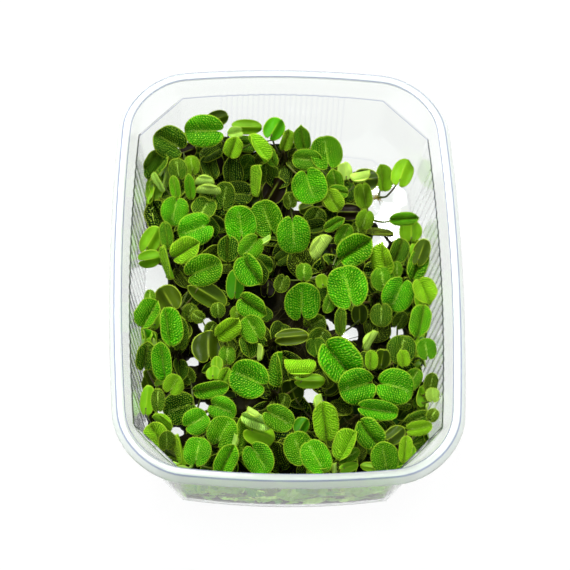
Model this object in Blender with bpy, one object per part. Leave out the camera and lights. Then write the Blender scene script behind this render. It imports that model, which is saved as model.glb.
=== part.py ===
"""Water spangles in a clear punnet: the tray, the floating-fern sprigs and the root tangle."""
import math
import random

import bpy
import bmesh
from mathutils import Matrix, Vector
from mathutils.bvhtree import BVHTree

# All lengths are in millimetres until the finished meshes are scaled to metres
MM = 0.001
SEED = 2459

# Tray sizes: half extents of the inner rim edge, then offsets from it
RIM_HALF_X = 63.5
RIM_HALF_Y = 88.8
RIM_RADIUS = 21.3
BOW_X = 4.1
BOW_Y = 5.0
HEIGHT = 45.6
CREST_WIDTH = 2.55
SKIRT_WIDTH = 2.4
SKIRT_DROP = 2.6
LIP_THICKNESS = 0.8
WALL = 0.75
SHOULDER_INSET = 2.25
SHOULDER_DROP = 8.5
SHOULDER_CHAMFER = 16.9
BASE_INSET = 7.45
BASE_CHAMFER = 13.6
FLOOR = 0.9
BASE_EDGE = 1.5
FLUTE_DEPTH = 0.8
FLUTE_FOOT = 4.0
FLUTE_FADE = 1.2
FLUTES_PER_STOP = 12
LONG_FLUTES = 24
SHORT_FLUTES = 12
LONG_FLUTE_HALF = 56.0
SHORT_FLUTE_HALF = 28.0
CORNER_STEPS = 4
CORNER_BOW = 0.66

# Viewing direction the leaf places were read from, in degrees, millimetres and picture pixels
VIEW_RISE = 59.36
VIEW_TURN = 5.0
VIEW_ROLL = 4.85
VIEW_DISTANCE = 992.7
VIEW_FOCAL = 2568.0
VIEW_CENTRE = (287.0, 266.0)

# Leaf, stalk and root sizes
LEAF_THICKNESS = 0.7
STALK_RADIUS = 0.75
HUB_DEPTH = 4.0
CLEARANCE = 0.35
SMALLEST_LEAF = 19
SPRIG_REACH = 32.0
LONE_REACH = 44.0
SPRIG_LEAVES = 4
SINK_STEP = 0.6
SINK_ORDER = [SINK_STEP * i for i in range(50)] + [-SINK_STEP * i for i in range(1, 20)]
LIP_ROOM = 2.0
LAYER_HEIGHT = (30.0, 25.5, 17.0, 8.5, 12.5)
LAYER_RANK = (1.0, 0.35, 0.1, 1.5)
BURIED_SPRIGS = 8
BURIED_LEAVES = 3
TUFT_REACHES = (20.0, 16.0, 12.5, 9.5, 7.0, 5.0)
TUFT_TOP = 1.9
TUFT_FOOT = 0.8
TANGLE_CELL = 9.0
TANGLE_TOP = 11.0
TANGLE_GAP = 0.7
TANGLE_MIN = 1.6
TANGLE_LUMPS = 4
TANGLE_CELLS = 3
# Merge distance and flattening angle tried in turn after a union
MERGES = ((0.02, 1.5), (0.005, 1.0), (0.001, 0.5), (0.0, 0.0))

# Each leaf: picture x, y, length, width in pixels, heading in degrees, shape, tone, layer
# Shapes: F flat, V folded, C closed, U underside, S side on, E edge on, K cupped
# Tones: b bright, m mid green, d dark, l lime, p pale, o olive, n brown
LEAVES = (
    (204, 131, 41, 33, 180, "F", "b", 0), (169, 142, 35, 33, 150, "F", "d", 1),
    (148, 160, 27, 22, 60, "V", "d", 1), (156, 168, 31, 15, 60, "S", "d", 1),
    (150, 189, 29, 19, 270, "U", "l", 1), (159, 181, 22, 6, 120, "E", "p", 0),
    (166, 177, 22, 7, 80, "E", "p", 0), (178, 169, 22, 19, 100, "F", "d", 1),
    (192, 165, 19, 15, 100, "F", "l", 1), (212, 165, 26, 29, 90, "U", "n", 2),
    (217, 119, 24, 16, 20, "U", "o", 1), (233, 133, 17, 12, 10, "K", "p", 0),
    (233, 147, 22, 20, 250, "V", "l", 0), (247, 127, 31, 13, 0, "U", "l", 1),
    (274, 129, 24, 21, 60, "U", "l", 0), (259, 148, 32, 16, 300, "S", "l", 0),
    (270, 156, 24, 12, 300, "V", "m", 1), (267, 173, 23, 23, 100, "F", "d", 2),
    (256, 180, 32, 9, 95, "E", "l", 1), (274, 189, 28, 24, 60, "U", "n", 2),
    (175, 187, 24, 10, 100, "V", "m", 0), (190, 186, 26, 9, 95, "V", "m", 0),
    (204, 180, 20, 10, 175, "C", "p", 0), (208, 189, 26, 10, 175, "C", "p", 0),
    (224, 196, 30, 22, 80, "F", "d", 2), (175, 211, 30, 28, 260, "F", "b", 0),
    (203, 211, 27, 24, 60, "K", "d", 1), (195, 229, 36, 33, 200, "F", "b", 0),
    (241, 223, 37, 31, 100, "F", "b", 0), (267, 217, 37, 32, 110, "F", "m", 1),
    (293, 235, 39, 34, 275, "F", "b", 0), (166, 235, 27, 13, 280, "V", "m", 1),
    (148, 240, 31, 20, 60, "U", "l", 1), (150, 259, 24, 18, 10, "U", "l", 1),
    (186, 252, 31, 25, 30, "V", "l", 0), (167, 262, 35, 10, 290, "E", "l", 1),
    (287, 138, 22, 10, 60, "S", "l", 1), (302, 137, 26, 17, 95, "V", "m", 1),
    (327, 152, 35, 32, 100, "F", "m", 1), (307, 160, 30, 21, 175, "F", "m", 1),
    (309, 186, 36, 35, 290, "F", "b", 0), (335, 180, 22, 17, 100, "V", "m", 1),
    (345, 171, 19, 15, 100, "U", "p", 0), (360, 177, 21, 15, 10, "C", "p", 0),
    (366, 180, 26, 23, 0, "U", "o", 2), (338, 192, 21, 13, 350, "V", "m", 1),
    (363, 195, 26, 18, 280, "V", "l", 1), (333, 201, 24, 20, 300, "V", "l", 1),
    (349, 212, 25, 17, 0, "U", "n", 2), (365, 220, 21, 17, 250, "F", "l", 1),
    (384, 177, 28, 18, 95, "V", "l", 3), (403, 172, 29, 21, 70, "U", "l", 3),
    (405, 219, 29, 14, 5, "S", "m", 0), (411, 231, 23, 23, 90, "U", "l", 1),
    (380, 232, 28, 9, 0, "E", "n", 2), (314, 219, 26, 22, 60, "F", "d", 2),
    (335, 225, 23, 11, 30, "V", "m", 1), (344, 235, 24, 16, 60, "F", "m", 1),
    (358, 230, 17, 13, 90, "F", "d", 2), (321, 247, 29, 22, 55, "C", "p", 0),
    (205, 270, 40, 31, 20, "F", "m", 0), (228, 247, 27, 22, 90, "V", "d", 1),
    (206, 253, 28, 12, 25, "E", "o", 1), (251, 248, 28, 24, 230, "F", "m", 0),
    (264, 240, 14, 8, 30, "C", "p", 0), (248, 268, 34, 32, 305, "V", "b", 0),
    (235, 284, 31, 18, 85, "U", "m", 1), (253, 306, 32, 27, 330, "V", "m", 0),
    (208, 294, 44, 22, 330, "U", "o", 1), (168, 298, 28, 26, 120, "U", "o", 1),
    (150, 297, 15, 11, 90, "F", "m", 1), (143, 315, 32, 24, 60, "V", "m", 0),
    (155, 320, 19, 10, 80, "U", "l", 1), (171, 325, 40, 24, 95, "V", "b", 0),
    (180, 333, 35, 16, 90, "F", "d", 1), (237, 313, 14, 14, 90, "F", "l", 1),
    (228, 328, 29, 21, 40, "V", "l", 0), (253, 328, 29, 25, 120, "F", "m", 0),
    (249, 345, 24, 24, 100, "V", "d", 1), (218, 310, 15, 14, 90, "F", "d", 1),
    (208, 347, 34, 33, 90, "U", "o", 2), (144, 355, 29, 22, 80, "V", "d", 1),
    (162, 360, 39, 20, 95, "V", "b", 0), (260, 352, 17, 6, 85, "C", "p", 0),
    (227, 355, 19, 16, 90, "F", "m", 1), (217, 364, 15, 12, 90, "U", "l", 1),
    (213, 373, 14, 14, 90, "U", "l", 1), (225, 375, 17, 14, 60, "V", "l", 1),
    (249, 379, 41, 38, 155, "F", "b", 0), (276, 367, 35, 16, 85, "S", "m", 1),
    (212, 390, 37, 17, 10, "V", "m", 0), (174, 385, 21, 21, 60, "F", "l", 0),
    (355, 251, 38, 30, 35, "V", "m", 0), (348, 286, 43, 41, 105, "F", "b", 0),
    (302, 300, 39, 37, 90, "F", "b", 0), (398, 295, 36, 32, 245, "F", "b", 0),
    (383, 279, 25, 24, 100, "F", "m", 1), (399, 250, 26, 18, 70, "V", "d", 1),
    (418, 263, 34, 20, 70, "V", "m", 1), (425, 252, 29, 17, 70, "U", "o", 1),
    (382, 257, 33, 20, 95, "S", "l", 0), (397, 269, 15, 11, 90, "F", "m", 1),
    (425, 291, 28, 22, 290, "V", "l", 0), (420, 320, 34, 21, 80, "V", "m", 0),
    (381, 315, 24, 22, 270, "F", "d", 1), (376, 299, 15, 15, 90, "F", "d", 2),
    (360, 314, 21, 16, 90, "U", "o", 2), (340, 321, 29, 10, 90, "V", "d", 1),
    (400, 320, 19, 14, 60, "F", "d", 2), (370, 340, 23, 18, 60, "C", "p", 0),
    (401, 349, 30, 29, 80, "F", "d", 1), (403, 358, 17, 15, 100, "V", "l", 0),
    (427, 349, 22, 20, 100, "F", "b", 1), (319, 340, 25, 24, 60, "F", "d", 2),
    (315, 324, 22, 22, 30, "F", "d", 2), (304, 272, 18, 16, 90, "F", "m", 1),
    (322, 281, 14, 12, 100, "U", "l", 1), (330, 303, 22, 12, 250, "F", "m", 1),
    (340, 363, 48, 40, 310, "V", "b", 0), (357, 386, 38, 37, 195, "F", "b", 0),
    (396, 386, 38, 36, 345, "F", "b", 0), (371, 359, 19, 13, 85, "V", "l", 0),
    (382, 359, 21, 16, 80, "U", "o", 1), (292, 337, 34, 14, 5, "U", "o", 1),
    (300, 368, 33, 21, 180, "C", "p", 0), (310, 381, 31, 15, 0, "U", "p", 1),
    (293, 391, 27, 21, 110, "U", "o", 2), (433, 395, 15, 14, 90, "F", "p", 1),
    (413, 378, 23, 17, 60, "F", "m", 1), (431, 383, 22, 14, 80, "F", "d", 1),
    (179, 408, 34, 33, 200, "F", "d", 1), (147, 400, 31, 14, 85, "U", "l", 0),
    (158, 400, 24, 14, 90, "F", "d", 1), (162, 422, 25, 20, 320, "C", "l", 0),
    (223, 409, 29, 25, 335, "F", "b", 0), (196, 422, 28, 27, 30, "F", "b", 0),
    (222, 433, 33, 32, 60, "F", "m", 0), (235, 440, 15, 7, 80, "C", "p", 0),
    (241, 434, 42, 8, 80, "E", "l", 1), (260, 433, 33, 26, 340, "U", "l", 1),
    (258, 421, 33, 16, 340, "V", "p", 0), (259, 458, 36, 30, 300, "F", "b", 0),
    (226, 460, 34, 20, 60, "V", "m", 0), (197, 451, 30, 28, 80, "F", "b", 0),
    (180, 449, 32, 8, 95, "E", "l", 1), (152, 441, 30, 26, 120, "V", "l", 0),
    (167, 440, 20, 17, 90, "F", "d", 1), (254, 412, 14, 9, 150, "C", "p", 0),
    (279, 418, 33, 26, 330, "F", "m", 0), (319, 402, 18, 15, 100, "C", "p", 0),
    (325, 421, 40, 26, 280, "V", "l", 0), (377, 411, 38, 20, 350, "K", "b", 0),
    (301, 426, 18, 16, 60, "U", "m", 1), (299, 448, 35, 30, 110, "F", "m", 1),
    (316, 457, 38, 29, 120, "F", "b", 0), (319, 470, 25, 6, 0, "E", "l", 1),
    (345, 445, 34, 22, 60, "S", "l", 0), (369, 435, 34, 29, 310, "V", "m", 0),
    (385, 457, 33, 28, 100, "F", "m", 0), (349, 456, 25, 12, 30, "F", "m", 1),
    (349, 467, 20, 10, 20, "U", "l", 1), (369, 467, 18, 9, 170, "U", "l", 1),
    (334, 468, 11, 8, 90, "C", "p", 1), (405, 449, 28, 13, 85, "V", "l", 0),
    (420, 428, 28, 15, 10, "F", "l", 0), (419, 419, 29, 14, 20, "F", "d", 1),
    (433, 415, 14, 12, 60, "F", "d", 1), (395, 435, 23, 17, 40, "U", "o", 1),
    (347, 426, 24, 20, 60, "U", "o", 2), (412, 456, 17, 13, 60, "U", "l", 1),
    (338, 406, 25, 12, 20, "F", "d", 2),
)

# Fold of each half, lean of the tip, roll about the midrib and the side that faces the viewer
SHAPES = {
    "F": (9.0, 6.0, 4.0, 1),
    "V": (38.0, 4.0, 10.0, 1),
    "C": (60.0, 4.0, 12.0, 1),
    "U": (14.0, 8.0, 6.0, -1),
    "S": (40.0, 4.0, 42.0, 1),
    "E": (24.0, 4.0, 62.0, 1),
    "K": (24.0, 34.0, 4.0, 1),
}

# Places in the picture where the bare floor shows: x, y and radius
FLOOR_GAPS = (
    (382, 208, 15), (380, 239, 8), (350, 330, 8), (330, 322, 6), (395, 329, 7), (205, 321, 7),
    (193, 360, 6), (152, 276, 16), (141, 385, 6), (202, 406, 8), (207, 421, 6), (165, 407, 6),
    (178, 429, 6), (300, 202, 9), (312, 394, 9), (423, 372, 5), (402, 206, 10),
)

# Edge of the heap in the picture
HEAP_EDGE = (
    (146, 160), (165, 138), (205, 128), (245, 132), (300, 134), (338, 150), (366, 176), (372, 214),
    (396, 232), (428, 236), (432, 300), (432, 400), (428, 440), (398, 462), (300, 468), (200, 462),
    (158, 446), (142, 400), (140, 330), (152, 296), (166, 280), (152, 262), (143, 240), (140, 190),
)

# Half outline of a leaf from the basal notch to the tip: along and across as fractions
SMALL_OUTLINE = ((0.04, 0.0), (0.24, 0.92), (0.8, 0.86), (1.0, 0.0))
LARGE_OUTLINE = ((0.06, 0.0), (0.1, 0.72), (0.55, 1.0), (0.9, 0.62), (1.0, 0.0))

# Colours and finishes: red, green, blue, roughness
LOOKS = {
    "tray": (0.82, 0.88, 0.86, 0.15),
    "spangle": (0.09, 0.3, 0.02, 0.5),
    "root_tangle": (0.05, 0.035, 0.015, 0.85),
}


def clear_scene():
    """Remove the start-up objects"""
    for old in list(bpy.data.objects):
        bpy.data.objects.remove(old, do_unlink=True)


def view_axes():
    """Right, up and forward of the viewing direction"""
    rise = math.radians(VIEW_RISE)
    turn = math.radians(-VIEW_TURN)
    right = Vector((math.cos(turn), math.sin(turn), 0.0))
    level = Vector((-math.sin(turn), math.cos(turn), 0.0))
    forward = level * math.cos(rise) - Vector((0.0, 0.0, math.sin(rise)))
    up = level * math.sin(rise) + Vector((0.0, 0.0, math.cos(rise)))
    return right, up, forward


def view_point(x, y, height):
    """Point at a given height behind a picture point, the direction to it and the scale there"""
    right, up, forward = view_axes()
    roll = math.radians(VIEW_ROLL)
    dx = x - VIEW_CENTRE[0]
    dy = y - VIEW_CENTRE[1]
    across = math.cos(roll) * dx + math.sin(roll) * dy
    down = -math.sin(roll) * dx + math.cos(roll) * dy
    ray = forward + right * (across / VIEW_FOCAL) - up * (down / VIEW_FOCAL)
    eye = Vector((0.0, 0.0, HEIGHT)) - forward * VIEW_DISTANCE
    reach = (height - eye.z) / ray.z
    return eye + ray * reach, ray.normalized(), reach / VIEW_FOCAL


def picture_point(point):
    """Picture place of a point"""
    right, up, forward = view_axes()
    offset = point - Vector((0.0, 0.0, HEIGHT)) + forward * VIEW_DISTANCE
    scale = VIEW_FOCAL / offset.dot(forward)
    across = offset.dot(right) * scale
    down = -offset.dot(up) * scale
    roll = math.radians(VIEW_ROLL)
    x = VIEW_CENTRE[0] + math.cos(roll) * across - math.sin(roll) * down
    y = VIEW_CENTRE[1] + math.sin(roll) * across + math.cos(roll) * down
    return x, y


def in_heap(x, y, room):
    """True where plants cover the floor in the picture"""
    inside = False
    count = len(HEAP_EDGE)
    for i in range(count):
        ax, ay = HEAP_EDGE[i]
        bx, by = HEAP_EDGE[(i + 1) % count]
        if (ay > y) != (by > y) and x < ax + (bx - ax) * (y - ay) / (by - ay):
            inside = not inside
    return inside and all(math.dist((x, y), gap[:2]) > gap[2] + room for gap in FLOOR_GAPS)


def leaf_frame(heading, lean, roll, side, ray):
    """Length, width and upper-face directions of a leaf"""
    right, up, forward = view_axes()
    turn = math.radians(VIEW_ROLL)
    flat = right * math.cos(turn) + up * math.sin(turn)
    steep = up * math.cos(turn) - right * math.sin(turn)
    out = -ray
    angle = math.radians(heading)
    along = flat * math.cos(angle) + steep * math.sin(angle)
    across = along.cross(out)
    tip = math.radians(lean)
    along, out = along * math.cos(tip) - out * math.sin(tip), out * math.cos(tip) + along * math.sin(tip)
    twist = math.radians(roll)
    side_on = across * math.cos(twist) + out * math.sin(twist)
    out = out * math.cos(twist) - across * math.sin(twist)
    return along, side_on, out * side


def leaf_place(leaf, index):
    """Base point, frame, size and fold of one leaf before its sprig is sunk"""
    x, y, length, width, heading, shape, tone, layer = leaf
    rng = random.Random(SEED + index)
    fold, lean, roll, side = SHAPES[shape]
    lean = lean * rng.choice((-1.0, 1.0)) + rng.uniform(-6.0, 6.0)
    if shape == "K":
        lean = abs(lean)
    roll = roll * rng.choice((-1.0, 1.0)) + rng.uniform(-6.0, 6.0)
    height = LAYER_HEIGHT[layer] + rng.uniform(-1.5, 1.5)
    centre, ray, scale = view_point(x, y, height)
    long = length * scale / math.cos(math.radians(lean))
    wide = width * scale / (math.cos(math.radians(fold)) * math.cos(math.radians(roll)))
    wide = min(max(wide, 0.5 * long), 1.02 * long)
    along, across, out = leaf_frame(heading, lean, roll, side, ray)
    base = centre - along * (0.5 * long)
    return base, along, across, out, long, wide, math.radians(fold), ray


def buried_leaves():
    """Leaf rows of the sprigs under the visible ones, at seeded random places"""
    rng = random.Random(SEED)
    rows = []
    centres = []
    while len(centres) < BURIED_SPRIGS:
        x = rng.uniform(140.0, 430.0)
        y = rng.uniform(150.0, 455.0)
        if not in_heap(x, y, 24.0) or any(math.dist((x, y), c) < 58.0 for c in centres):
            continue
        centres.append((x, y))
        start = rng.uniform(0.0, 360.0)
        for i in range(BURIED_LEAVES):
            heading = start + 360.0 * i / BURIED_LEAVES + rng.uniform(-25.0, 25.0)
            length = rng.uniform(28.0, 35.0)
            angle = math.radians(heading)
            place = (x + 0.55 * length * math.cos(angle), y - 0.55 * length * math.sin(angle))
            width = length * rng.uniform(0.75, 0.95)
            shape = rng.choice("FFUVK")
            rows.append((place[0], place[1], length, width, heading, shape, rng.choice("ddon"), 4))
    return tuple(rows)


def sprig_groups():
    """Neighbouring leaves that share one stem, by the distance between their bases"""
    bases = []
    for x, y, length, width, heading, shape, tone, layer in LEAVES:
        angle = math.radians(heading)
        bases.append((x - 0.5 * length * math.cos(angle), y + 0.5 * length * math.sin(angle)))
    free = [i for i in range(len(LEAVES)) if LEAVES[i][2] >= SMALLEST_LEAF]
    groups = []
    while free:
        group = [free.pop(0)]
        while len(group) < SPRIG_LEAVES:
            best = None
            for j in free:
                if abs(LEAVES[j][7] - LEAVES[group[0]][7]) > 1:
                    continue
                gap = min(math.dist(bases[i], bases[j]) for i in group)
                if gap < SPRIG_REACH and (best is None or gap < best[0]):
                    best = (gap, j)
            if best is None:
                break
            group.append(best[1])
            free.remove(best[1])
        groups.append(group)
    for lone in [g for g in groups if len(g) == 1]:
        best = None
        for group in groups:
            if group is lone or len(group) > SPRIG_LEAVES:
                continue
            gap = min(math.dist(bases[i], bases[lone[0]]) for i in group)
            if gap < LONE_REACH and (best is None or gap < best[0]):
                best = (gap, group)
        if best is not None:
            best[1].extend(lone)
            groups.remove(lone)
    groups.sort(key=lambda group: -max(LAYER_RANK[LEAVES[i][7]] * LEAVES[i][2] * LEAVES[i][3] for i in group))
    for i in range(BURIED_SPRIGS):
        start = len(LEAVES) + i * BURIED_LEAVES
        groups.append(list(range(start, start + BURIED_LEAVES)))
    return groups


def taken(shape):
    """Points and faces of a bmesh, which is then freed"""
    shape.verts.index_update()
    points = [v.co.copy() for v in shape.verts]
    polys = [tuple(v.index for v in face.verts) for face in shape.faces]
    shape.free()
    return points, polys


def leaf_solid(place, outline, thickness):
    """Closed leaf of a given thickness, two halves folded about the midrib"""
    base, along, across, out, long, wide, fold, ray = place
    shape = bmesh.new()
    rib = {}
    for hand in (1, -1):
        half = []
        for a, s in outline:
            reach = s * 0.5 * wide
            point = base + along * (a * long)
            point += across * (hand * reach * math.cos(fold)) + out * (reach * math.sin(fold))
            if s == 0.0:
                rib[a] = rib.get(a) or shape.verts.new(point)
                half.append(rib[a])
            else:
                half.append(shape.verts.new(point))
        shape.faces.new(half if hand > 0 else half[::-1])
    shape.normal_update()
    for vert in shape.verts:
        vert.co -= vert.normal * (0.5 * thickness)
    shape.normal_update()
    bmesh.ops.solidify(shape, geom=shape.faces[:], thickness=-thickness)
    bmesh.ops.recalc_face_normals(shape, faces=shape.faces)
    return taken(shape)


def cone_solid(start, stop, radius_start, radius_stop, sides):
    """Closed tapered stalk between two points"""
    run = stop - start
    turn = Vector((0.0, 0.0, 1.0)).rotation_difference(run).to_matrix().to_4x4()
    place = Matrix.Translation((start + stop) * 0.5) @ turn
    shape = bmesh.new()
    bmesh.ops.create_cone(
        shape, cap_ends=True, segments=sides, radius1=radius_start, radius2=radius_stop,
        depth=run.length, matrix=place,
    )
    return taken(shape)


def sprig_solids(group, rows, swell):
    """Leaves and stalks of one sprig as closed shapes before it is sunk, and its hub"""
    places = [leaf_place(rows[i], i) for i in group]
    hub = sum((p[0] + p[7] * HUB_DEPTH for p in places), Vector()) / len(places)
    solids = []
    for index, place in zip(group, places):
        base, along, across, out, long, wide, fold, ray = place
        big = rows[index][2] > 30 and rows[index][5] in "FVK"
        outline = LARGE_OUTLINE if big else SMALL_OUTLINE
        solids.append(leaf_solid(place, outline, LEAF_THICKNESS + 2.0 * swell))
        start = base + along * (0.25 * long)
        stop = hub + (hub - start).normalized() * 0.6
        solids.append(cone_solid(start, stop, 0.4 + swell, STALK_RADIUS + swell, 3))
    return solids, hub


def merged(solids, move):
    """Points and faces of several shapes as one list, moved"""
    points = []
    polys = []
    for some, faces in solids:
        start = len(points)
        points += [p + move for p in some]
        polys += [tuple(start + i for i in face) for face in faces]
    return points, polys


def box_of(points):
    """Lowest and highest corner"""
    low = Vector((min(p.x for p in points), min(p.y for p in points), min(p.z for p in points)))
    high = Vector((max(p.x for p in points), max(p.y for p in points), max(p.z for p in points)))
    return low, high


def touches(points, polys, others):
    """True when a shape's surface crosses any of the others"""
    low, high = box_of(points)
    tree = None
    for (other_low, other_high), other_tree in others:
        if any(low[i] > other_high[i] or other_low[i] > high[i] for i in range(3)):
            continue
        if tree is None:
            tree = BVHTree.FromPolygons(points, polys)
        if tree.overlap(other_tree):
            return True
    return False


def wall_push(point):
    """Push in x and y that brings a point back inside the inner walls"""
    rise = min(max(point.z / (HEIGHT - SHOULDER_DROP), 0.0), 1.0)
    inset = BASE_INSET + (SHOULDER_INSET - BASE_INSET) * rise + WALL + FLUTE_DEPTH + CLEARANCE
    half_x = RIM_HALF_X - inset
    half_y = RIM_HALF_Y - inset
    chamfer = BASE_CHAMFER + (SHOULDER_CHAMFER - BASE_CHAMFER) * rise
    limit_x = half_x - BOW_X * (point.y / half_y) ** 2
    limit_y = half_y - BOW_Y * (point.x / half_x) ** 2
    push = Vector((0.0, 0.0, 0.0))
    if abs(point.x) > limit_x:
        push.x = math.copysign(abs(point.x) - limit_x, -point.x)
    if abs(point.y) > limit_y:
        push.y = math.copysign(abs(point.y) - limit_y, -point.y)
    corner = half_x + half_y - chamfer - CORNER_BOW * (BOW_X + BOW_Y)
    over = abs(point.x + push.x) + abs(point.y + push.y) - corner
    if over > 0.0:
        push.x += math.copysign(0.5 * over, -point.x)
        push.y += math.copysign(0.5 * over, -point.y)
    return push


def settled(plain, swollen, ray, placed):
    """Move that sinks a sprig along the viewing line until it is clear of those placed before"""
    for depth in SINK_ORDER:
        move = ray * depth
        for attempt in range(6):
            for point in plain[0]:
                move += wall_push(point + move) * 0.5
        low, high = box_of([p + move for p in plain[0]])
        if low.z < FLOOR + CLEARANCE or high.z > HEIGHT - LIP_ROOM:
            continue
        if not touches([p + move for p in swollen[0]], swollen[1], placed):
            return move
    return None


def edge_points(points, polys):
    """Points along every edge of a shape"""
    samples = []
    for poly in polys:
        for a, b in zip(poly, poly[1:] + poly[:1]):
            samples += [points[a].lerp(points[b], f) for f in (0.0, 0.2, 0.4, 0.6, 0.8)]
    return samples


def tangle_tops(samples):
    """Height of the root tangle over a grid of the floor, kept below every sprig"""
    rng = random.Random(SEED + 7)
    columns = int(2.0 * RIM_HALF_X / TANGLE_CELL)
    lines = int(2.0 * RIM_HALF_Y / TANGLE_CELL)
    tops = {}
    for i in range(columns + 1):
        for j in range(lines + 1):
            place = Vector(((i - 0.5 * columns) * TANGLE_CELL, (j - 0.5 * lines) * TANGLE_CELL, FLOOR))
            top = rng.uniform(0.5, 1.0) * TANGLE_TOP
            beyond = place + Vector((math.copysign(1.2, place.x), math.copysign(1.2, place.y), 0.0))
            if wall_push(beyond).length == 0.0 and in_heap(*picture_point(place), 0.0):
                tops[(i, j)] = (place, top)
    for point in samples:
        i = math.floor(point.x / TANGLE_CELL + 0.5 * columns)
        j = math.floor(point.y / TANGLE_CELL + 0.5 * lines)
        for key in ((i, j), (i + 1, j), (i, j + 1), (i + 1, j + 1)):
            if key in tops:
                tops[key] = (tops[key][0], min(tops[key][1], point.z - TANGLE_GAP))
    return {key: value for key, value in tops.items() if value[1] > FLOOR + TANGLE_MIN}


def tangle_regions(tops):
    """Sets of joined grid cells, with no two cells meeting only at a corner"""
    cells = set()
    for i, j in tops:
        if all(key in tops for key in ((i + 1, j), (i, j + 1), (i + 1, j + 1))):
            cells.add((i, j))
    for i, j in sorted(cells):
        for side in (1, -1):
            if (i, j) in cells and (i + side, j + 1) in cells:
                if (i + side, j) not in cells and (i, j + 1) not in cells:
                    cells.remove((i, j))
    regions = []
    left = set(cells)
    while left:
        region = [min(left)]
        left.remove(region[0])
        for i, j in region:
            for key in ((i + 1, j), (i - 1, j), (i, j + 1), (i, j - 1)):
                if key in left:
                    left.remove(key)
                    region.append(key)
        regions.append(region)
    regions.sort(key=lambda region: (-len(region), min(region)))
    return [region for region in regions[:TANGLE_LUMPS] if len(region) >= TANGLE_CELLS]


def tangle_solids(samples):
    """Closed lumpy solids of matted roots lying on the floor"""
    tops = tangle_tops(samples)
    solids = []
    for region in tangle_regions(tops):
        shape = bmesh.new()
        corners = {}
        for i, j in region:
            for key in ((i, j), (i + 1, j), (i + 1, j + 1), (i, j + 1)):
                if key not in corners:
                    place = tops[key][0]
                    corners[key] = shape.verts.new((place.x, place.y, FLOOR + CLEARANCE))
        for i, j in region:
            ring = ((i, j), (i + 1, j), (i + 1, j + 1), (i, j + 1))
            shape.faces.new([corners[key] for key in ring])
        made = bmesh.ops.extrude_face_region(shape, geom=shape.faces[:])
        raised = [item for item in made["geom"] if isinstance(item, bmesh.types.BMVert)]
        heights = {(round(place.x, 3), round(place.y, 3)): top for place, top in tops.values()}
        for vert in raised:
            vert.co.z = heights[(round(vert.co.x, 3), round(vert.co.y, 3))]
        bmesh.ops.triangulate(shape, faces=shape.faces[:])
        bmesh.ops.recalc_face_normals(shape, faces=shape.faces)
        solids.append(taken(shape))
    return solids


def tuft_solid(hub, others):
    """Tapered root tuft under a sprig's hub, as long as there is room"""
    for reach in TUFT_REACHES:
        foot = hub - Vector((0.0, 0.0, reach))
        if foot.z < FLOOR + CLEARANCE:
            continue
        under = foot - Vector((0.0, 0.0, CLEARANCE))
        wide = cone_solid(hub, under, TUFT_TOP + CLEARANCE, TUFT_FOOT + CLEARANCE, 5)
        if any(wall_push(p).length > 0.0 for p in wide[0]) or touches(*wide, others):
            continue
        top = hub + Vector((0.0, 0.0, 0.3))
        return [cone_solid(top, foot, TUFT_TOP, TUFT_FOOT, 5)], [(box_of(wide[0]), BVHTree.FromPolygons(*wide))]
    return [], []


def look(name):
    """Material with the colour and finish of one kind of piece"""
    red, green, blue, rough = LOOKS[name]
    made = bpy.data.materials.get(name) or bpy.data.materials.new(name)
    made.use_nodes = True
    surface = made.node_tree.nodes["Principled BSDF"]
    surface.inputs["Base Color"].default_value = (red, green, blue, 1.0)
    surface.inputs["Roughness"].default_value = rough
    surface.inputs["Metallic"].default_value = 0.0
    return made


def solid_object(name, points, polys, kind, unit=MM):
    """Object made from millimetre points, in metres unless another unit is given"""
    mesh = bpy.data.meshes.new(name)
    mesh.from_pydata([p * unit for p in points], [], polys)
    mesh.materials.append(look(kind))
    made = bpy.data.objects.new(name, mesh)
    bpy.context.scene.collection.objects.link(made)
    return made


def keep_largest_shell(shape):
    """Drop slivers and sealed pockets, and say whether what is left is closed"""
    shells = []
    left = set(shape.verts)
    while left:
        shell = [left.pop()]
        for vert in shell:
            for edge in vert.link_edges:
                other = edge.other_vert(vert)
                if other in left:
                    left.remove(other)
                    shell.append(other)
        shells.append(shell)
    shells.sort(key=len)
    for shell in shells[:-1]:
        bmesh.ops.delete(shape, geom=shell, context="VERTS")
    return all(len(edge.link_faces) == 2 for edge in shape.edges)


def united_object(name, solids, kind):
    """One body from closed shapes that overlap, joined by exact unions"""
    body = solid_object(name, *solids[0], kind, 1.0)
    tools = []
    for points, polys in solids[1:]:
        tool = solid_object("piece", points, polys, kind, 1.0)
        join = body.modifiers.new("join", "BOOLEAN")
        join.operation = "UNION"
        join.solver = "EXACT"
        join.object = tool
        tools.append(tool)
    bpy.context.view_layer.update()
    result = bpy.data.meshes.new_from_object(body.evaluated_get(bpy.context.evaluated_depsgraph_get()))
    for old in [body] + tools:
        bpy.data.objects.remove(old, do_unlink=True)
    for merge, flat in MERGES:
        shape = bmesh.new()
        shape.from_mesh(result)
        if merge > 0.0:
            bmesh.ops.remove_doubles(shape, verts=shape.verts, dist=merge)
        if flat > 0.0:
            angle = math.radians(flat)
            bmesh.ops.dissolve_limit(shape, angle_limit=angle, verts=shape.verts, edges=shape.edges)
        bmesh.ops.triangulate(shape, faces=shape.faces)
        if keep_largest_shell(shape):
            break
        shape.free()
    else:
        raise RuntimeError(f"{name} is not one closed body")
    bmesh.ops.scale(shape, verts=shape.verts, vec=(MM, MM, MM))
    shape.to_mesh(result)
    shape.free()
    result.name = name
    made = bpy.data.objects.new(name, result)
    bpy.context.scene.collection.objects.link(made)
    return made


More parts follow.
